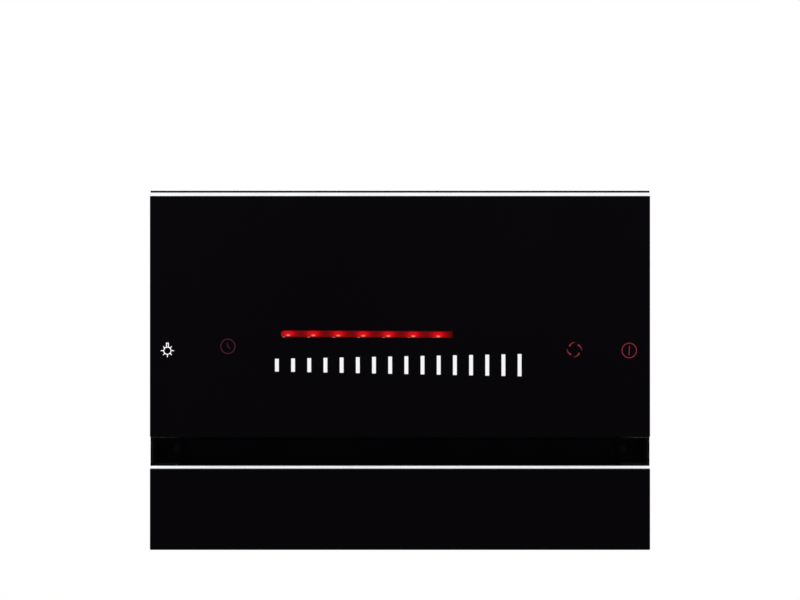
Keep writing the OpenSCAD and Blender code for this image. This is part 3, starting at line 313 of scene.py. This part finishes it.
# Bulkhead: the leaning inner wall behind the door, in the same powder but coloured far blacker than the
# casing.
# It lies deep in the suction slot, and that near-black colour is painted shade, standing for the shade that
# swallows nearly all the light there, as in the photograph.
slot_shade_powder = surface("powder_black_painted_slot_shade", "#040405", "#060608", 50, POWDER_PEEL, (0.72, 0.9), 0.012,
               IOR=1.45, Specular_IOR_Level=0.12)
dress(["filter_bulkhead"], slot_shade_powder, 0.3 * MM)


# Door hinges: pressed brackets on turned pins, steel, bright zinc-plated, each held by two screws.
# The plating is bluish grey, with faint yellow clouds and a fine crystalline sparkle.
zinc = surface("bright_zinc_plating", "#A2A6AD", "#C4C2B8", 9, 1.2, (0.26, 0.44), 0.012, Metallic=1.0)
dress(["hinge_brackets", "hinge_pins", "hinge_bracket_screws"], zinc, 0.15 * MM)


# Door catches: sintered ferrite magnets in the bulkhead, and soft rubber buffers for the door to rest on.
# Ferrite is a dull charcoal grey like fired clay, and the rubber is deep black without a highlight.
ferrite = surface("sintered_ferrite", "#2C2C2E", "#3B3A3B", 6, 0.9, (0.6, 0.8), 0.03, IOR=1.6)
dress(["catch_magnets"], ferrite, 0.5 * MM)
rubber = surface("moulded_rubber_black", "#121213", "#1B1B1C", 5, 0.7, (0.75, 0.9), 0.02, IOR=1.52,
                 Specular_IOR_Level=0.3)
dress(["door_buffers"], rubber, 0.4 * MM)


# Blower: two scroll halves, inlet rings and a double-inlet fan wheel, polypropylene, injection-moulded.
# The spark-eroded tool leaves a fine matt texture on the grey plastic, drawn at 1.2 mm to show.
grey_pp = surface("moulded_polypropylene_grey", "#585A5E", "#66686C", 40, 1.2, (0.5, 0.65), 0.03,
                  IOR=1.49)
dress(["scroll_left", "scroll_right", "inlet_rings", "fan_wheel"], grey_pp)


# Motor: a turned shaft in a stack of steel sheets, in a drawn steel can on a pressed bracket.
# Four rubber mounts carry it, and its run capacitor stands beside it in a pale plastic can.
drawn_steel = surface("drawn_motor_steel", "#7E8084", "#9A9CA0", 14, (12, 0.6, 0.6), (0.28, 0.46), 0.01,
                      Metallic=1.0)
dress(["motor_shaft", "motor_rotor", "motor_body"], drawn_steel)
dress(["motor_bracket"], zinc, 0.2 * MM)
dress(["motor_mounts"], rubber)
pale_abs = surface("moulded_abs_pale", "#CDCCC5", "#D8D7D0", 30, 1.0, (0.45, 0.58), 0.02, IOR=1.54)
dress(["motor_capacitor"], pale_abs)


# Control box: a moulded ABS tray and lid around the power board, fixed to the bottom sheet.
# The board is glass fibre under green solder mask, where the tracks show as paler lines.
dress(["control_box", "control_box_lid"], pale_abs, 0.4 * MM)
board = surface("solder_mask_green", "#12522C", "#175E34", 12, 0.8, (0.28, 0.4), 0.005, IOR=1.55)
tree, shader, spot = inside(board)
TRACK_CELL = 11
TRACK_W = 0.03
tracks = add_node(tree, "ShaderNodeTexBrick", {"Vector": spot, "Scale": 1 / (TRACK_CELL * MM),
                                               "Mortar Size": TRACK_W, "Color1": srgb("#12522C"),
                                               "Color2": srgb("#0F4727"), "Mortar": srgb("#2A7C4A")})
tree.links.new(tracks.outputs[0], shader.inputs["Base Color"])
dress(["power_board"], board)


# Duct outlet: a black ABS collar on a rubber gasket, held by a steel clamp ring and four screws.
# Two thin flaps on moulded pins close it while the fan stands still.
black_abs = surface("moulded_abs_black", "#1A1A1D", "#232326", 30, 1.2, (0.38, 0.55), 0.03, IOR=1.54)
dress(["duct_collar", "damper_flap_left", "damper_flap_right"], black_abs, 0.25 * MM)
dress(["collar_gasket"], rubber)
dress(["collar_clamp_ring"], powder, 0.3 * MM)
dress(["collar_screws"], zinc, 0.12 * MM)


# Cable gland: turned and moulded nylon, pushed into the notch of the top sheet and locked by its nut.
# Nylon is a little glossier than the ABS around it.
nylon = surface("moulded_nylon_black", "#151517", "#1D1D1F", 12, 1.0, (0.3, 0.42), 0.015, IOR=1.53)
dress(["cable_gland"], nylon, 0.3 * MM)


# Lamps: two finned die-cast bodies over the bottom sheet, each with a turned aluminium ring under it
# and a frosted glass lens in the ring. The lathe leaves fine rings that drag the highlights round.
LATHE_RING = 0.7
LATHE_RELIEF = 0.008 * MM
cast = surface("die_cast_aluminium", "#8B8D90", "#A6A8AB", 10, 1.1, (0.42, 0.6), 0.03, Metallic=1.0)
dress(["lamp_bodies"], cast)

RING_W = 8 * MM
LIP = 0.8 * MM
DOME = 0.5 * MM
TURN_STEPS = 96
SHARP_FROM = math.radians(35)
upright_axes = across, Vector((0, 1, 0)), Vector((0, 0, 1))
(x0, x1), (y0, y1), (z0, z1) = (reach("lamp_bezels", axis) for axis in upright_axes)
ring_r = (y1 - y0) / 2
lens_r = ring_r - RING_W
lamp_places = [Vector((side * (x1 - ring_r), (y0 + y1) / 2, 0)) for side in (-1, 1)]


def turned(name, outline, places):
    """Like pieces turned about upright axes, from one closed outline of radius and height."""
    mesh = bmesh.new()
    angles = [2 * math.pi * i / TURN_STEPS for i in range(TURN_STEPS)]
    for place in places:
        rings = [[mesh.verts.new(place + Vector((r * math.cos(a), r * math.sin(a), z))) for a in angles]
                 for r, z in outline]
        for lower, upper in zip(rings, rings[1:] + rings[:1]):
            for i in range(TURN_STEPS):
                j = (i + 1) % TURN_STEPS
                mesh.faces.new((lower[i], lower[j], upper[j], upper[i]))
    bmesh.ops.remove_doubles(mesh, verts=mesh.verts, dist=SAME_CORNER)
    return smooth(new_object(name, mesh))


def smooth(piece):
    """Shades a piece smoothly, except over its sharp edges."""
    piece.data.shade_smooth()
    piece.data.set_sharp_from_angle(angle=SHARP_FROM)
    return piece


def stand_in(piece, node, slot, body, *materials):
    """Puts a finished piece in the place of a CAD node."""
    for made in materials:
        piece.data.materials.append(made)
    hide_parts(node)
    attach(piece, body)


# The lower face of the ring is rounded over the lip at both its edges.
bezel = turned("lamp_ring", [(lens_r, z1), (ring_r, z1), (ring_r, z0 + LIP),
                             (ring_r - 0.25 * LIP, z0 + 0.35 * LIP), (ring_r - LIP, z0),
                             (lens_r + 1.6 * LIP, z0), (lens_r + 0.7 * LIP, z0 + 0.25 * LIP),
                             (lens_r, z0 + LIP)], lamp_places)
turned_ring = surface("turned_aluminium", "#B4B5B8", "#C9CACD", 12, 0.8, (0.22, 0.34), 0.004,
                      Metallic=1.0)
tree, shader, spot = inside(turned_ring)
axes = add_node(tree, "ShaderNodeSeparateXYZ", {0: spot})
beside = add_node(tree, "ShaderNodeMath", {0: axes.outputs["X"]}, operation="ABSOLUTE")
flat = add_node(tree, "ShaderNodeCombineXYZ", {"X": beside.outputs[0], "Y": axes.outputs["Y"]})
radius = add_node(tree, "ShaderNodeVectorMath", {0: flat.outputs[0], 1: lamp_places[1]},
                  operation="DISTANCE")
ridge = add_node(tree, "ShaderNodeMath", {0: radius.outputs["Value"], 1: 2 * math.pi / (LATHE_RING * MM)},
                 operation="MULTIPLY")
wave = add_node(tree, "ShaderNodeMath", {0: ridge.outputs[0]}, operation="SINE")
raised = add_node(tree, "ShaderNodeBump", {"Height": wave.outputs[0], "Distance": LATHE_RELIEF})
tree.links.new(raised.outputs[0], shader.inputs["Normal"])
stand_in(bezel, "lamp_bezels", "bright_trim", "casing", turned_ring)

z0, z1 = reach("lamp_lenses", Vector((0, 0, 1)))
# The lens is thinnest at its flat rim, and its face swells from there to the middle.
lens = turned("lamp_glass", [(0, z1), (lens_r, z1), (lens_r, z0 + 1.4 * DOME),
                             (lens_r - 0.7 * DOME, z0 + DOME), (0.94 * lens_r, z0 + DOME),
                             (0.92 * lens_r, z0 + 0.7 * DOME), (0.75 * lens_r, z0 + 0.42 * DOME),
                             (0.5 * lens_r, z0 + 0.18 * DOME), (0.25 * lens_r, z0 + 0.05 * DOME),
                             (0, z0)], lamp_places)
frosted = surface("frosted_lamp_glass", "#E9E8E2", "#F3F2ED", 8, 0.9, (0.45, 0.6), 0.01, IOR=1.52,
                  Transmission_Weight=0.1)
stand_in(lens, "lamp_lenses", "lamp_lens", "casing", frosted)


# Grease filter: three sheets of expanded aluminium round a packed core, in a folded aluminium frame,
# dulled by a film of oxide from washing. A moulded housing on the frame carries the latch, whose
# tongue hooks under a zinc-plated keeper.
CELL_W, CELL_H = 10 * MM, 5.5 * MM
STRAND_W, STRAND_T = 1.0 * MM, 0.55 * MM
KNUCKLE = 0.8 * MM
LEAN_OVER, STRETCH = 0.15, 1.15
leaning_axes = across, into_wall, down_slope
BOX_FACES = ((0, 1, 3, 2), (4, 6, 7, 5), (0, 4, 5, 1), (2, 3, 7, 6), (0, 2, 6, 4), (1, 5, 7, 3))
rolled = surface("rolled_aluminium", "#AEB0B3", "#C8CACD", 22, (25, 1.0, 1.0), (0.3, 0.48), 0.01,
                 Metallic=0.6)
dress(["filter_frame"], rolled, 0.4 * MM)


def leaning(x, depth, drop):
    """A point from its places across the hood, into the wall and down the slope."""
    return across * x + into_wall * depth + down_slope * drop


(x0, x1), (y0, y1), (z0, z1) = (reach("filter_mesh", axis) for axis in leaning_axes)
columns = int((x1 - x0) / CELL_W) * 2
rows = int((z1 - z0) / CELL_H)
step_x, step_z = (x1 - x0) / columns, (z1 - z0) / rows
netting = bmesh.new()
for layer, depth in enumerate((y0 + STRAND_T, y0 + 3 * STRAND_T, y1 - STRAND_T)):
    for row in range(rows):
        ring_before = None
        for i in range(columns + 1):
            swing = 0.5 * (step_z - STRAND_W) * (1 if (i + row + layer) % 2 else -1)
            for x in (x0 + i * step_x - KNUCKLE, x0 + i * step_x + KNUCKLE):
                x = min(max(x, x0), x1)
                drop = z0 + (row + 0.5) * step_z + swing
                # Each strand stands askew and a little stretched, as the punch leaves it.
                ring = [netting.verts.new(leaning(x, depth + a * STRAND_T / 2 + b * LEAN_OVER * STRAND_W,
                                                  drop + b * STRETCH * STRAND_W / 2))
                        for a, b in ((-1, -1), (1, -1), (1, 1), (-1, 1))]
                if ring_before:
                    for k in range(4):
                        j = (k + 1) % 4
                        netting.faces.new((ring_before[k], ring_before[j], ring[j], ring[k]))
                else:
                    netting.faces.new(ring)
                ring_before = ring
        netting.faces.new(ring_before[::-1])
core_depths = y0 + 5 * STRAND_T, y1 - 2 * STRAND_T
corners = [netting.verts.new(leaning(x, y, z)) for z in (z0, z1) for y in core_depths for x in (x0, x1)]
for face in BOX_FACES:
    netting.faces.new([corners[i] for i in face]).material_index = 1
grease_mesh = new_object("expanded_mesh", netting)
stretched = surface("expanded_aluminium", "#A4A6A9", "#C2C4C7", 16, 1.5, (0.32, 0.52), 0.02,
                    Metallic=0.55)
packed = surface("packed_aluminium_wool", "#3A3B3E", "#6E7074", 3, (4, 1.2, 1.2), (0.45, 0.7), 0.3,
                 Metallic=0.6)
stand_in(grease_mesh, "filter_mesh", "filter_metal", "casing", stretched, packed)
dress(["filter_latch_housing", "filter_latch"], black_abs, 0.6 * MM)
dress(["filter_latch_keeper"], zinc, 0.15 * MM)


# Lower glass: 4 mm float glass glued to a folded steel carrier, with black enamel fired on its back.
# The face is a deep black with a cold tint, and its finely ground edge stays nearly as dark.
CORNER_R = 1.0 * MM
GROUND_EDGE = 0.25 * MM
# A face lies square to an axis, or an edge along it, when the cosine of the turn is above this.
FLAT = 0.999
RIM_FROM = math.radians(60)
# The carrier takes the same near-black, painted shade of the slot, as the bulkhead.
dress(["lower_glass_carrier"], slot_shade_powder, 0.3 * MM)
glass = surface("black_enamelled_float_glass", "#050306", "#060407", 160, 110, (0.02, 0.04), 0.0006,
                IOR=1.52)
ground = surface("ground_glass_edge", "#050507", "#08080A", 4, 0.6, (0.5, 0.65), 0.005, IOR=1.52,
                 Specular_IOR_Level=0.05)


def glass_panel(name, node, body):
    """A glass panel with its corners rounded, a polished face and ground edges."""
    (x0, x1), (y0, y1), (z0, z1) = (reach(node, axis) for axis in leaning_axes)
    mesh = bmesh.new()
    points = [mesh.verts.new(leaning(x, y, z)) for z in (z0, z1) for y in (y0, y1) for x in (x0, x1)]
    for face in BOX_FACES:
        mesh.faces.new([points[i] for i in face])
    through = [e for e in mesh.edges
               if abs((e.verts[0].co - e.verts[1].co).normalized().dot(into_wall)) > FLAT]
    bmesh.ops.bevel(mesh, geom=through, offset=CORNER_R, segments=5, profile=0.5, affect="EDGES")
    rim = [e for e in mesh.edges if e.calc_face_angle(0) > RIM_FROM]
    bmesh.ops.bevel(mesh, geom=rim, offset=GROUND_EDGE, segments=2, profile=0.5, affect="EDGES")
    panel = smooth(new_object(name, mesh))
    stand_in(panel, node, "black_glass", body, glass, ground)
    # The flats stay flat in shading too, so that they mirror straight up to their edges.
    for face in panel.data.polygons:
        face.use_smooth = max(abs(face.normal.dot(axis)) for axis in leaning_axes) < FLAT
        face.material_index = 0 if abs(face.normal.dot(into_wall)) > FLAT else 1


glass_panel("lower_glass_panel", "lower_glass", "casing")


# Lower bright strip: an aluminium extrusion along the top of the lower glass, polished and anodised.
# Its sloping face is slightly crowned and throws the light from above back to the eye. Behind the
# face its shelf is coloured near black as painted shade, so that the slot reads black right down to the
# bright line.
DRAW_LINE = 1.2
FACE_STEPS = 12
# The face leans back by this share of its rise, and its crown stands proud by this share of it.
FACE_SLOPE = 0.8
LOWER_CROWN = 0.09
# This brings the fullest point of the bow up to nearly the whole crown.
BOW_GAIN = 4.7
# The top of the face, this far down the slope, also takes the near-black painted shade of the slot.
SLOT_SHADE_LIP = 0.5 * MM
bright = surface("polished_anodised_aluminium", "#F4F4F6", "#FBFBFD", 30, (60, DRAW_LINE, DRAW_LINE),
                 (0.12, 0.22), 0.0008, Metallic=1.0)


def extrusion(name, outline, x0, x1):
    """A length of profile across the hood. The outline is given into the wall and down the slope,
    and its first points are the bright face, which takes the first material. The sawn ends take
    the last of three."""
    mesh = bmesh.new()
    ends = [[mesh.verts.new(leaning(x, *point)) for point in outline] for x in (x0, x1)]
    for sawn in (ends[0], ends[1][::-1]):
        mesh.faces.new(sawn).material_index = 2
    for i in range(len(outline)):
        j = (i + 1) % len(outline)
        side = mesh.faces.new((ends[0][i], ends[0][j], ends[1][j], ends[1][i]))
        side.material_index = 0 if i < FACE_STEPS else 1
    return smooth(new_object(name, mesh))


def crowned(foot, head, crown):
    """Points from the foot of a sloping face to its head, bowed out by a crown that is fullest low down."""
    (foot_in, foot_drop), (head_in, head_drop) = foot, head
    length = math.hypot(head_in - foot_in, head_drop - foot_drop)
    out_in, out_drop = (head_drop - foot_drop) / length, -(head_in - foot_in) / length
    points = []
    for i in range(FACE_STEPS + 1):
        t = i / FACE_STEPS
        bow = crown * BOW_GAIN * t * (1 - t) ** 1.5
        points.append((foot_in + (head_in - foot_in) * t + out_in * bow,
                       foot_drop + (head_drop - foot_drop) * t + out_drop * bow))
    return points


(x0, x1), (y0, y1), (z0, z1) = (reach("lower_bright_strip", axis) for axis in leaning_axes)
rise = z1 - z0 - SLOT_SHADE_LIP
face = crowned((y0, z1), (y0 + FACE_SLOPE * rise, z0 + SLOT_SHADE_LIP), LOWER_CROWN * rise)
strip = extrusion("lower_strip", face + [(y0 + FACE_SLOPE * (z1 - z0), z0), (y1, z0), (y1, z1)], x0, x1)
# The shelf and the top lip take the near-black that paints the shade of the slot.
stand_in(strip, "lower_bright_strip", "bright_trim", "casing", bright, slot_shade_powder, rolled)


# Slot end caps: injection-moulded ABS that closes the two ends of the suction slot, one screw each.
# A lid above and one below close each cap, and the coarse spark-eroded texture kills its shine. Their
# colour is made far blacker than the other black ABS mouldings, as painted shade, so the slot is black
# right out to its ends.
LID_T = 1.2 * MM
# Each lid runs from this far across the hood to the outer end of its cap.
LID_FROM = 222.8 * MM
slot_shade_abs = surface("spark_eroded_abs_painted_shade_black", "#050506", "#070709", 25, 1.4, (0.7, 0.85), 0.04, IOR=1.54,
                   Specular_IOR_Level=0.12)
dress(["slot_end_caps"], slot_shade_abs, 0.15 * MM)
(x0, x1), (y0, y1), (z0, z1) = (reach("slot_end_caps", axis) for axis in leaning_axes)
lids = bmesh.new()
for inner, outer in ((LID_FROM, x1), (x0, -LID_FROM)):
    for top in (z0, z1 - LID_T):
        corners = [lids.verts.new(leaning(x, y, z)) for z in (top, top + LID_T) for y in (y0, y1)
                   for x in (inner, outer)]
        for face in BOX_FACES:
            lids.faces.new([corners[i] for i in face])
lids = new_object("slot_end_lids", lids)
lids.data.materials.append(slot_shade_abs)
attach(lids, "casing")


# Door: a folded steel pan behind the upper glass, with the swinging hinge leaves screwed to it
# and two steel striker plates that meet the magnets.
dress(["door_pan"], powder, 0.3 * MM)
dress(["door_hinge_leaves", "hinge_leaf_screws", "door_strikers"], zinc, 0.15 * MM)


# Touch board: a long circuit board glued behind the upper glass, with a clear acrylic guide over
# seven red diodes. Only the prints in front of them can be seen from outside.
dress(["touch_board"], board)
acrylic = surface("moulded_acrylic_clear", "#E6E6E8", "#F2F2F4", 20, 1.0, (0.08, 0.14), 0.002, IOR=1.49,
                  Transmission_Weight=0.85)
dress(["level_light_guide"], acrylic)
epoxy = surface("red_tinted_epoxy", "#B8321F", "#D8523C", 4, 0.6, (0.15, 0.25), 0.004, IOR=1.54)
dress(["level_diodes"], epoxy)


# Upper glass, its bright strip and the top cap: the glass is the same as below, the strip's leg hooks
# round the pan, and the cap is a thin strip of charcoal-painted steel glued on top.
glass_panel("upper_glass_panel", "upper_glass", "door")

UPPER_CROWN = 0.04
LEG = 1.5 * MM
(x0, x1), (y0, y1), (z0, z1) = (reach("door_bright_strip", axis) for axis in leaning_axes)
glass_top = reach("upper_glass", down_slope)[0]
rise = glass_top - z0
face = crowned((y0, glass_top), (y0 + FACE_SLOPE * rise, z0), UPPER_CROWN * rise)
hook = [(y1, z0), (y1, z1), (y1 - LEG, z1), (y1 - LEG, glass_top)]
strip = extrusion("upper_strip", face + hook, x0, x1)
stand_in(strip, "door_bright_strip", "bright_trim", "door", bright, rolled, rolled)

charcoal = surface("painted_steel_charcoal", "#161618", "#1E1E21", 30, 1.2, (0.55, 0.7), 0.01, IOR=1.5,
                   Specular_IOR_Level=0.15)
(x0, x1), (y0, y1), (z0, z1) = (reach("door_top_cap", axis) for axis in leaning_axes)
# The upper edge is rolled back until its front stands plumb over the leaning face of the cap, and a
# hair further, so that it stays inside the object's box.
ROLL_H, PAST_PLUMB = 0.45 * MM, 1.05
roll_back = PAST_PLUMB * ROLL_H * math.tan(lean)
rolled_edge = [(y0 + roll_back, z0 - ROLL_H), (y1, z0 - ROLL_H)]
cap = extrusion("top_cap", [(y0, z1), (y0, z0)] + rolled_edge + [(y1, z1)], x0, x1)
stand_in(cap, "door_top_cap", "dark_trim", "door", charcoal, charcoal, charcoal)


# Touch prints: windows left in the enamel and lit from behind, sixteen white marks for the slider
# and four symbols. Each glows in its colour, a little uneven, under the same polish as the glass.
HAZE = 1.4


def lit_print(name, dark, light, strength):
    """A back-lit window in the enamel of the glass."""
    made = surface(name, "#08070A", "#0A080C", 5, 0.8, (0.02, 0.05), 0.0, IOR=1.52,
                   Emission_Strength=strength)
    tree, shader, spot = inside(made)
    haze = add_node(tree, "ShaderNodeTexNoise", {"Vector": spot, "Scale": 1 / (HAZE * MM), "Detail": 2.0})
    glow = add_node(tree, "ShaderNodeMix", {0: haze.outputs[0], 6: srgb(dark), 7: srgb(light)},
                    data_type="RGBA")
    tree.links.new(glow.outputs[2], shader.inputs["Emission Color"])
    return made


LINE_W = 0.8 * MM
FINE_LINE_W = 0.68 * MM
RING_STEPS = 48
print_front, print_back = reach("power_symbol", into_wall)


def middle_of(node, right=0.0, lower=0.0):
    """The middle of a leaning node, moved by millimetres to the right and down the slope."""
    x, drop = (sum(reach(node, axis)) / 2 for axis in (across, down_slope))
    return x + right * MM, drop + lower * MM


def stroke(mesh, centre, rail, other_rail, closed=False):
    """A printed stroke between two rails of points, given right of and above the symbol's centre."""
    front_a, front_b, back_a, back_b = (
        [mesh.verts.new(leaning(centre[0] + x, depth, centre[1] - up)) for x, up in points]
        for depth in (print_front, print_back) for points in (rail, other_rail))
    count = len(rail)
    for i in range(count if closed else count - 1):
        j = (i + 1) % count
        for quad in ((front_a[i], front_a[j], front_b[j], front_b[i]),
                     (back_a[i], back_b[i], back_b[j], back_a[j]),
                     (front_a[i], back_a[i], back_a[j], front_a[j]),
                     (front_b[i], front_b[j], back_b[j], back_b[i])):
            mesh.faces.new(quad)
    if not closed:
        for i in (0, -1):
            mesh.faces.new((front_a[i], front_b[i], back_b[i], back_a[i]))


def printed_ring(mesh, centre, radius, width=LINE_W):
    """A printed ring, round the symbol's centre."""
    turns = [2 * math.pi * i / RING_STEPS for i in range(RING_STEPS)]
    rails = [[(r * math.cos(t), r * math.sin(t)) for t in turns]
             for r in (radius - width / 2, radius + width / 2)]
    stroke(mesh, centre, *rails, closed=True)


def printed_line(mesh, centre, start, end, width=LINE_W):
    """A printed straight line from one point to another."""
    (ax, az), (bx, bz) = start, end
    length = math.hypot(bx - ax, bz - az)
    nx, nz = -(bz - az) / length * width / 2, (bx - ax) / length * width / 2
    stroke(mesh, centre, [(ax + nx, az + nz), (bx + nx, bz + nz)],
           [(ax - nx, az - nz), (bx - nx, bz - nz)])


dress(["slider_marks"], lit_print("back_lit_print_white", "#F2F2F4", "#FFFFFF", 0.97))

# Lamp: a ring with seven rays and a narrow stem.
BULB_R, RAY_FROM, RAY_TO = 3.6 * MM, 4.0 * MM, 6.5 * MM
SLANTED_RAY = 0.93
STEM_HALF_W, STEM_FROM, STEM_TO = 0.95 * MM, 4.0 * MM, 7.6 * MM
centre = (middle_of("lamp_symbol", right=0.17)[0], middle_of("power_symbol", lower=0.25)[1])
ink = bmesh.new()
printed_ring(ink, centre, BULB_R, FINE_LINE_W)
for degrees in (0, 45, 135, 180, 225, 270, 315):
    ray = Vector((math.cos(math.radians(degrees)), math.sin(math.radians(degrees))))
    far = RAY_TO if degrees % 90 == 0 else SLANTED_RAY * RAY_TO
    printed_line(ink, centre, ray * RAY_FROM, ray * far, FINE_LINE_W)
for x in (-STEM_HALF_W, STEM_HALF_W):
    printed_line(ink, centre, (x, STEM_FROM), (x, STEM_TO), FINE_LINE_W)
foot_half_w = STEM_HALF_W + FINE_LINE_W / 2
printed_line(ink, centre, (-foot_half_w, STEM_TO), (foot_half_w, STEM_TO), FINE_LINE_W)
stand_in(new_object("lamp_print", ink), "lamp_symbol", "white_print", "door",
         lit_print("back_lit_print_pure_white", "#F8F8FA", "#FFFFFF", 1.3))

# Timer: a clock face with two hands, printed in the dim red of a function that is off.
TIMER_R = 7.15 * MM
HANDS = ((-0.5, 3.6), (-0.2, 0.1)), ((-0.4, 0.3), (2.4, -2.4))
centre = middle_of("timer_symbol", right=0.4)
ink = bmesh.new()
printed_ring(ink, centre, TIMER_R)
for start, end in HANDS:
    printed_line(ink, centre, Vector(start) * MM, Vector(end) * MM)
stand_in(new_object("timer_print", ink), "timer_symbol", "dim_print", "door",
         lit_print("back_lit_print_dim_red", "#441A24", "#52222C", 1.0))

# Air: four turning strokes that swell at one end.
SWIRL_STEPS, SWIRL_FROM, SWIRL_SWEEP = 8, math.radians(146), math.radians(62)
R_FROM, R_TO = 5.9 * MM, 7.5 * MM
HALF_W_FROM, HALF_W_TO = 0.85 * MM, 0.15 * MM
centre = middle_of("air_symbol", right=0.5)
red_print = lit_print("back_lit_print_red", "#7C2832", "#922F3C", 1.0)
ink = bmesh.new()
for quarter in range(4):
    rails = [[], []]
    for i in range(SWIRL_STEPS + 1):
        share = i / SWIRL_STEPS
        turn = quarter * math.pi / 2 + SWIRL_FROM - SWIRL_SWEEP * share
        radius = R_FROM + (R_TO - R_FROM) * share
        half_w = HALF_W_FROM + (HALF_W_TO - HALF_W_FROM) * share
        for rail, r in zip(rails, (radius + half_w, radius - half_w)):
            rail.append((r * math.cos(turn), r * math.sin(turn)))
    stroke(ink, centre, *rails)
stand_in(new_object("air_print", ink), "air_symbol", "red_print", "door", red_print)

# Power: a ring with an upright stroke.
POWER_R = 7.25 * MM
BAR_FOOT, BAR_HEAD = (-0.3, -4.7), (0.2, 4.4)
centre = middle_of("power_symbol")
ink = bmesh.new()
printed_ring(ink, centre, POWER_R)
printed_line(ink, centre, Vector(BAR_FOOT) * MM, Vector(BAR_HEAD) * MM)
stand_in(new_object("power_print", ink), "power_symbol", "red_print", "door", red_print)


# Level bar: one long window over the seven red diodes. Each shows as a hot red spot with a pale core
# low in the bar and a faint ghost beside it. The glow between them is dark red, and it dies away
# past the last diode. The guide behind the glass stands a little askew, so the glow sinks to the right.
SPOT_GAIN, SINK = 1.5, 0.008
# The sizes of its light are in millimetres.
SPOT_HALF_W, SPOT_HALF_H = 5.6, 3.0
CORE_HALF_W, CORE_HALF_H, CORE_BELOW = 1.5, 0.7, 1.7
GHOST_HALF_W, GHOST_HALF_H, GHOST_LEFT, GHOST_BELOW = 1.2, 0.5, 4.5, 3.4
GLOW_HALF_H, GLOW_ENDS = 2.5, 3.6
DIES_BEFORE_END, GONE_PAST_END = 6, 1
LED_COUNT, LED_W = 7, 3
(x0, x1), (z0, z1) = ([end / MM for end in reach("level_light_bar", axis)] for axis in (across, down_slope))
led0, led1 = (end / MM for end in reach("level_diodes", across))
led_pitch = (led1 - led0 - LED_W) / (LED_COUNT - 1)
first_led = led0 + LED_W / 2
lit = surface("red_lit_window", "#100204", "#140306", 5, 0.8, (0.02, 0.05), 0.0, IOR=1.52,
              Emission_Strength=1.0)
tree, shader, spot = inside(lit)
upright = add_node(tree, "ShaderNodeVectorRotate", {"Vector": spot, "Angle": -lean}, rotation_type="X_AXIS")
in_mm = add_node(tree, "ShaderNodeVectorMath", {0: upright.outputs[0], "Scale": 1 / MM}, operation="SCALE")
axes = add_node(tree, "ShaderNodeSeparateXYZ", {0: in_mm.outputs[0]})
past_first = add_node(tree, "ShaderNodeMath", {0: axes.outputs["X"], 1: first_led}, operation="SUBTRACT")
beside_led = add_node(tree, "ShaderNodeMath", {0: past_first.outputs[0], 1: led_pitch / 2,
                                               2: -led_pitch / 2}, operation="WRAP")
# How far down the slope the middle of the glow runs.
glow_middle = add_node(tree, "ShaderNodeMath", {0: axes.outputs["X"], 1: SINK,
                                                2: (z0 + z1) / 2 - SINK * (x0 + x1) / 2},
                       operation="MULTIPLY_ADD")
above_middle = add_node(tree, "ShaderNodeMath", {0: axes.outputs["Z"], 1: glow_middle.outputs[0]},
                        operation="ADD")
from_led = add_node(tree, "ShaderNodeCombineXYZ", {"X": beside_led.outputs[0],
                                                   "Z": above_middle.outputs[0]})


def spot_glow(left, below, half_w, half_h):
    """How strongly a round spot beside each diode glows, from 1 at its middle to nothing outside it."""
    off = add_node(tree, "ShaderNodeVectorMath", {0: from_led.outputs[0], 1: (left, 0, below)},
                   operation="ADD")
    sized = add_node(tree, "ShaderNodeVectorMath", {0: off.outputs[0], 1: (half_w, 1, half_h)},
                     operation="DIVIDE")
    squared = add_node(tree, "ShaderNodeVectorMath", {0: sized.outputs[0], 1: sized.outputs[0]},
                       operation="DOT_PRODUCT")
    fall = add_node(tree, "ShaderNodeMath", {0: squared.outputs["Value"], 1: -1.0}, operation="MULTIPLY")
    return add_node(tree, "ShaderNodeMath", {0: fall.outputs[0]}, operation="EXPONENT").outputs[0]


hot = add_node(tree, "ShaderNodeMath", {0: spot_glow(0, 0, SPOT_HALF_W, SPOT_HALF_H), 1: SPOT_GAIN},
               operation="MULTIPLY", use_clamp=True)
core = spot_glow(0, CORE_BELOW, CORE_HALF_W, CORE_HALF_H)
ghost = spot_glow(GHOST_LEFT, GHOST_BELOW, GHOST_HALF_W, GHOST_HALF_H)
dying = add_node(tree, "ShaderNodeMapRange", {"Value": axes.outputs["X"], "From Min": x1 - DIES_BEFORE_END,
                                              "From Max": x1 + GONE_PAST_END},
                 interpolation_type="SMOOTHSTEP")
off_middle = add_node(tree, "ShaderNodeMath", {0: above_middle.outputs[0]}, operation="ABSOLUTE")
outside = add_node(tree, "ShaderNodeMapRange", {"Value": off_middle.outputs[0], "From Min": GLOW_HALF_H,
                                                "From Max": GLOW_ENDS}, interpolation_type="SMOOTHSTEP")
unlit = add_node(tree, "ShaderNodeMath", {0: dying.outputs[0], 1: outside.outputs[0]}, operation="MAXIMUM")
glow = add_node(tree, "ShaderNodeMix", {0: hot.outputs[0], 6: srgb("#6C0406"), 7: srgb("#D80810")},
                data_type="RGBA")
cored = add_node(tree, "ShaderNodeMix", {0: core, 6: glow.outputs[2], 7: srgb("#FF9C7C")}, data_type="RGBA")
faded = add_node(tree, "ShaderNodeMix", {0: unlit.outputs[0], 6: cored.outputs[2], 7: srgb("#1C0406")},
                 data_type="RGBA")
ghosted = add_node(tree, "ShaderNodeMix", {0: ghost, 6: faded.outputs[2], 7: srgb("#C46A62")},
                   data_type="RGBA")
tree.links.new(ghosted.outputs[2], shader.inputs["Emission Color"])
dress(["level_light_bar"], lit)
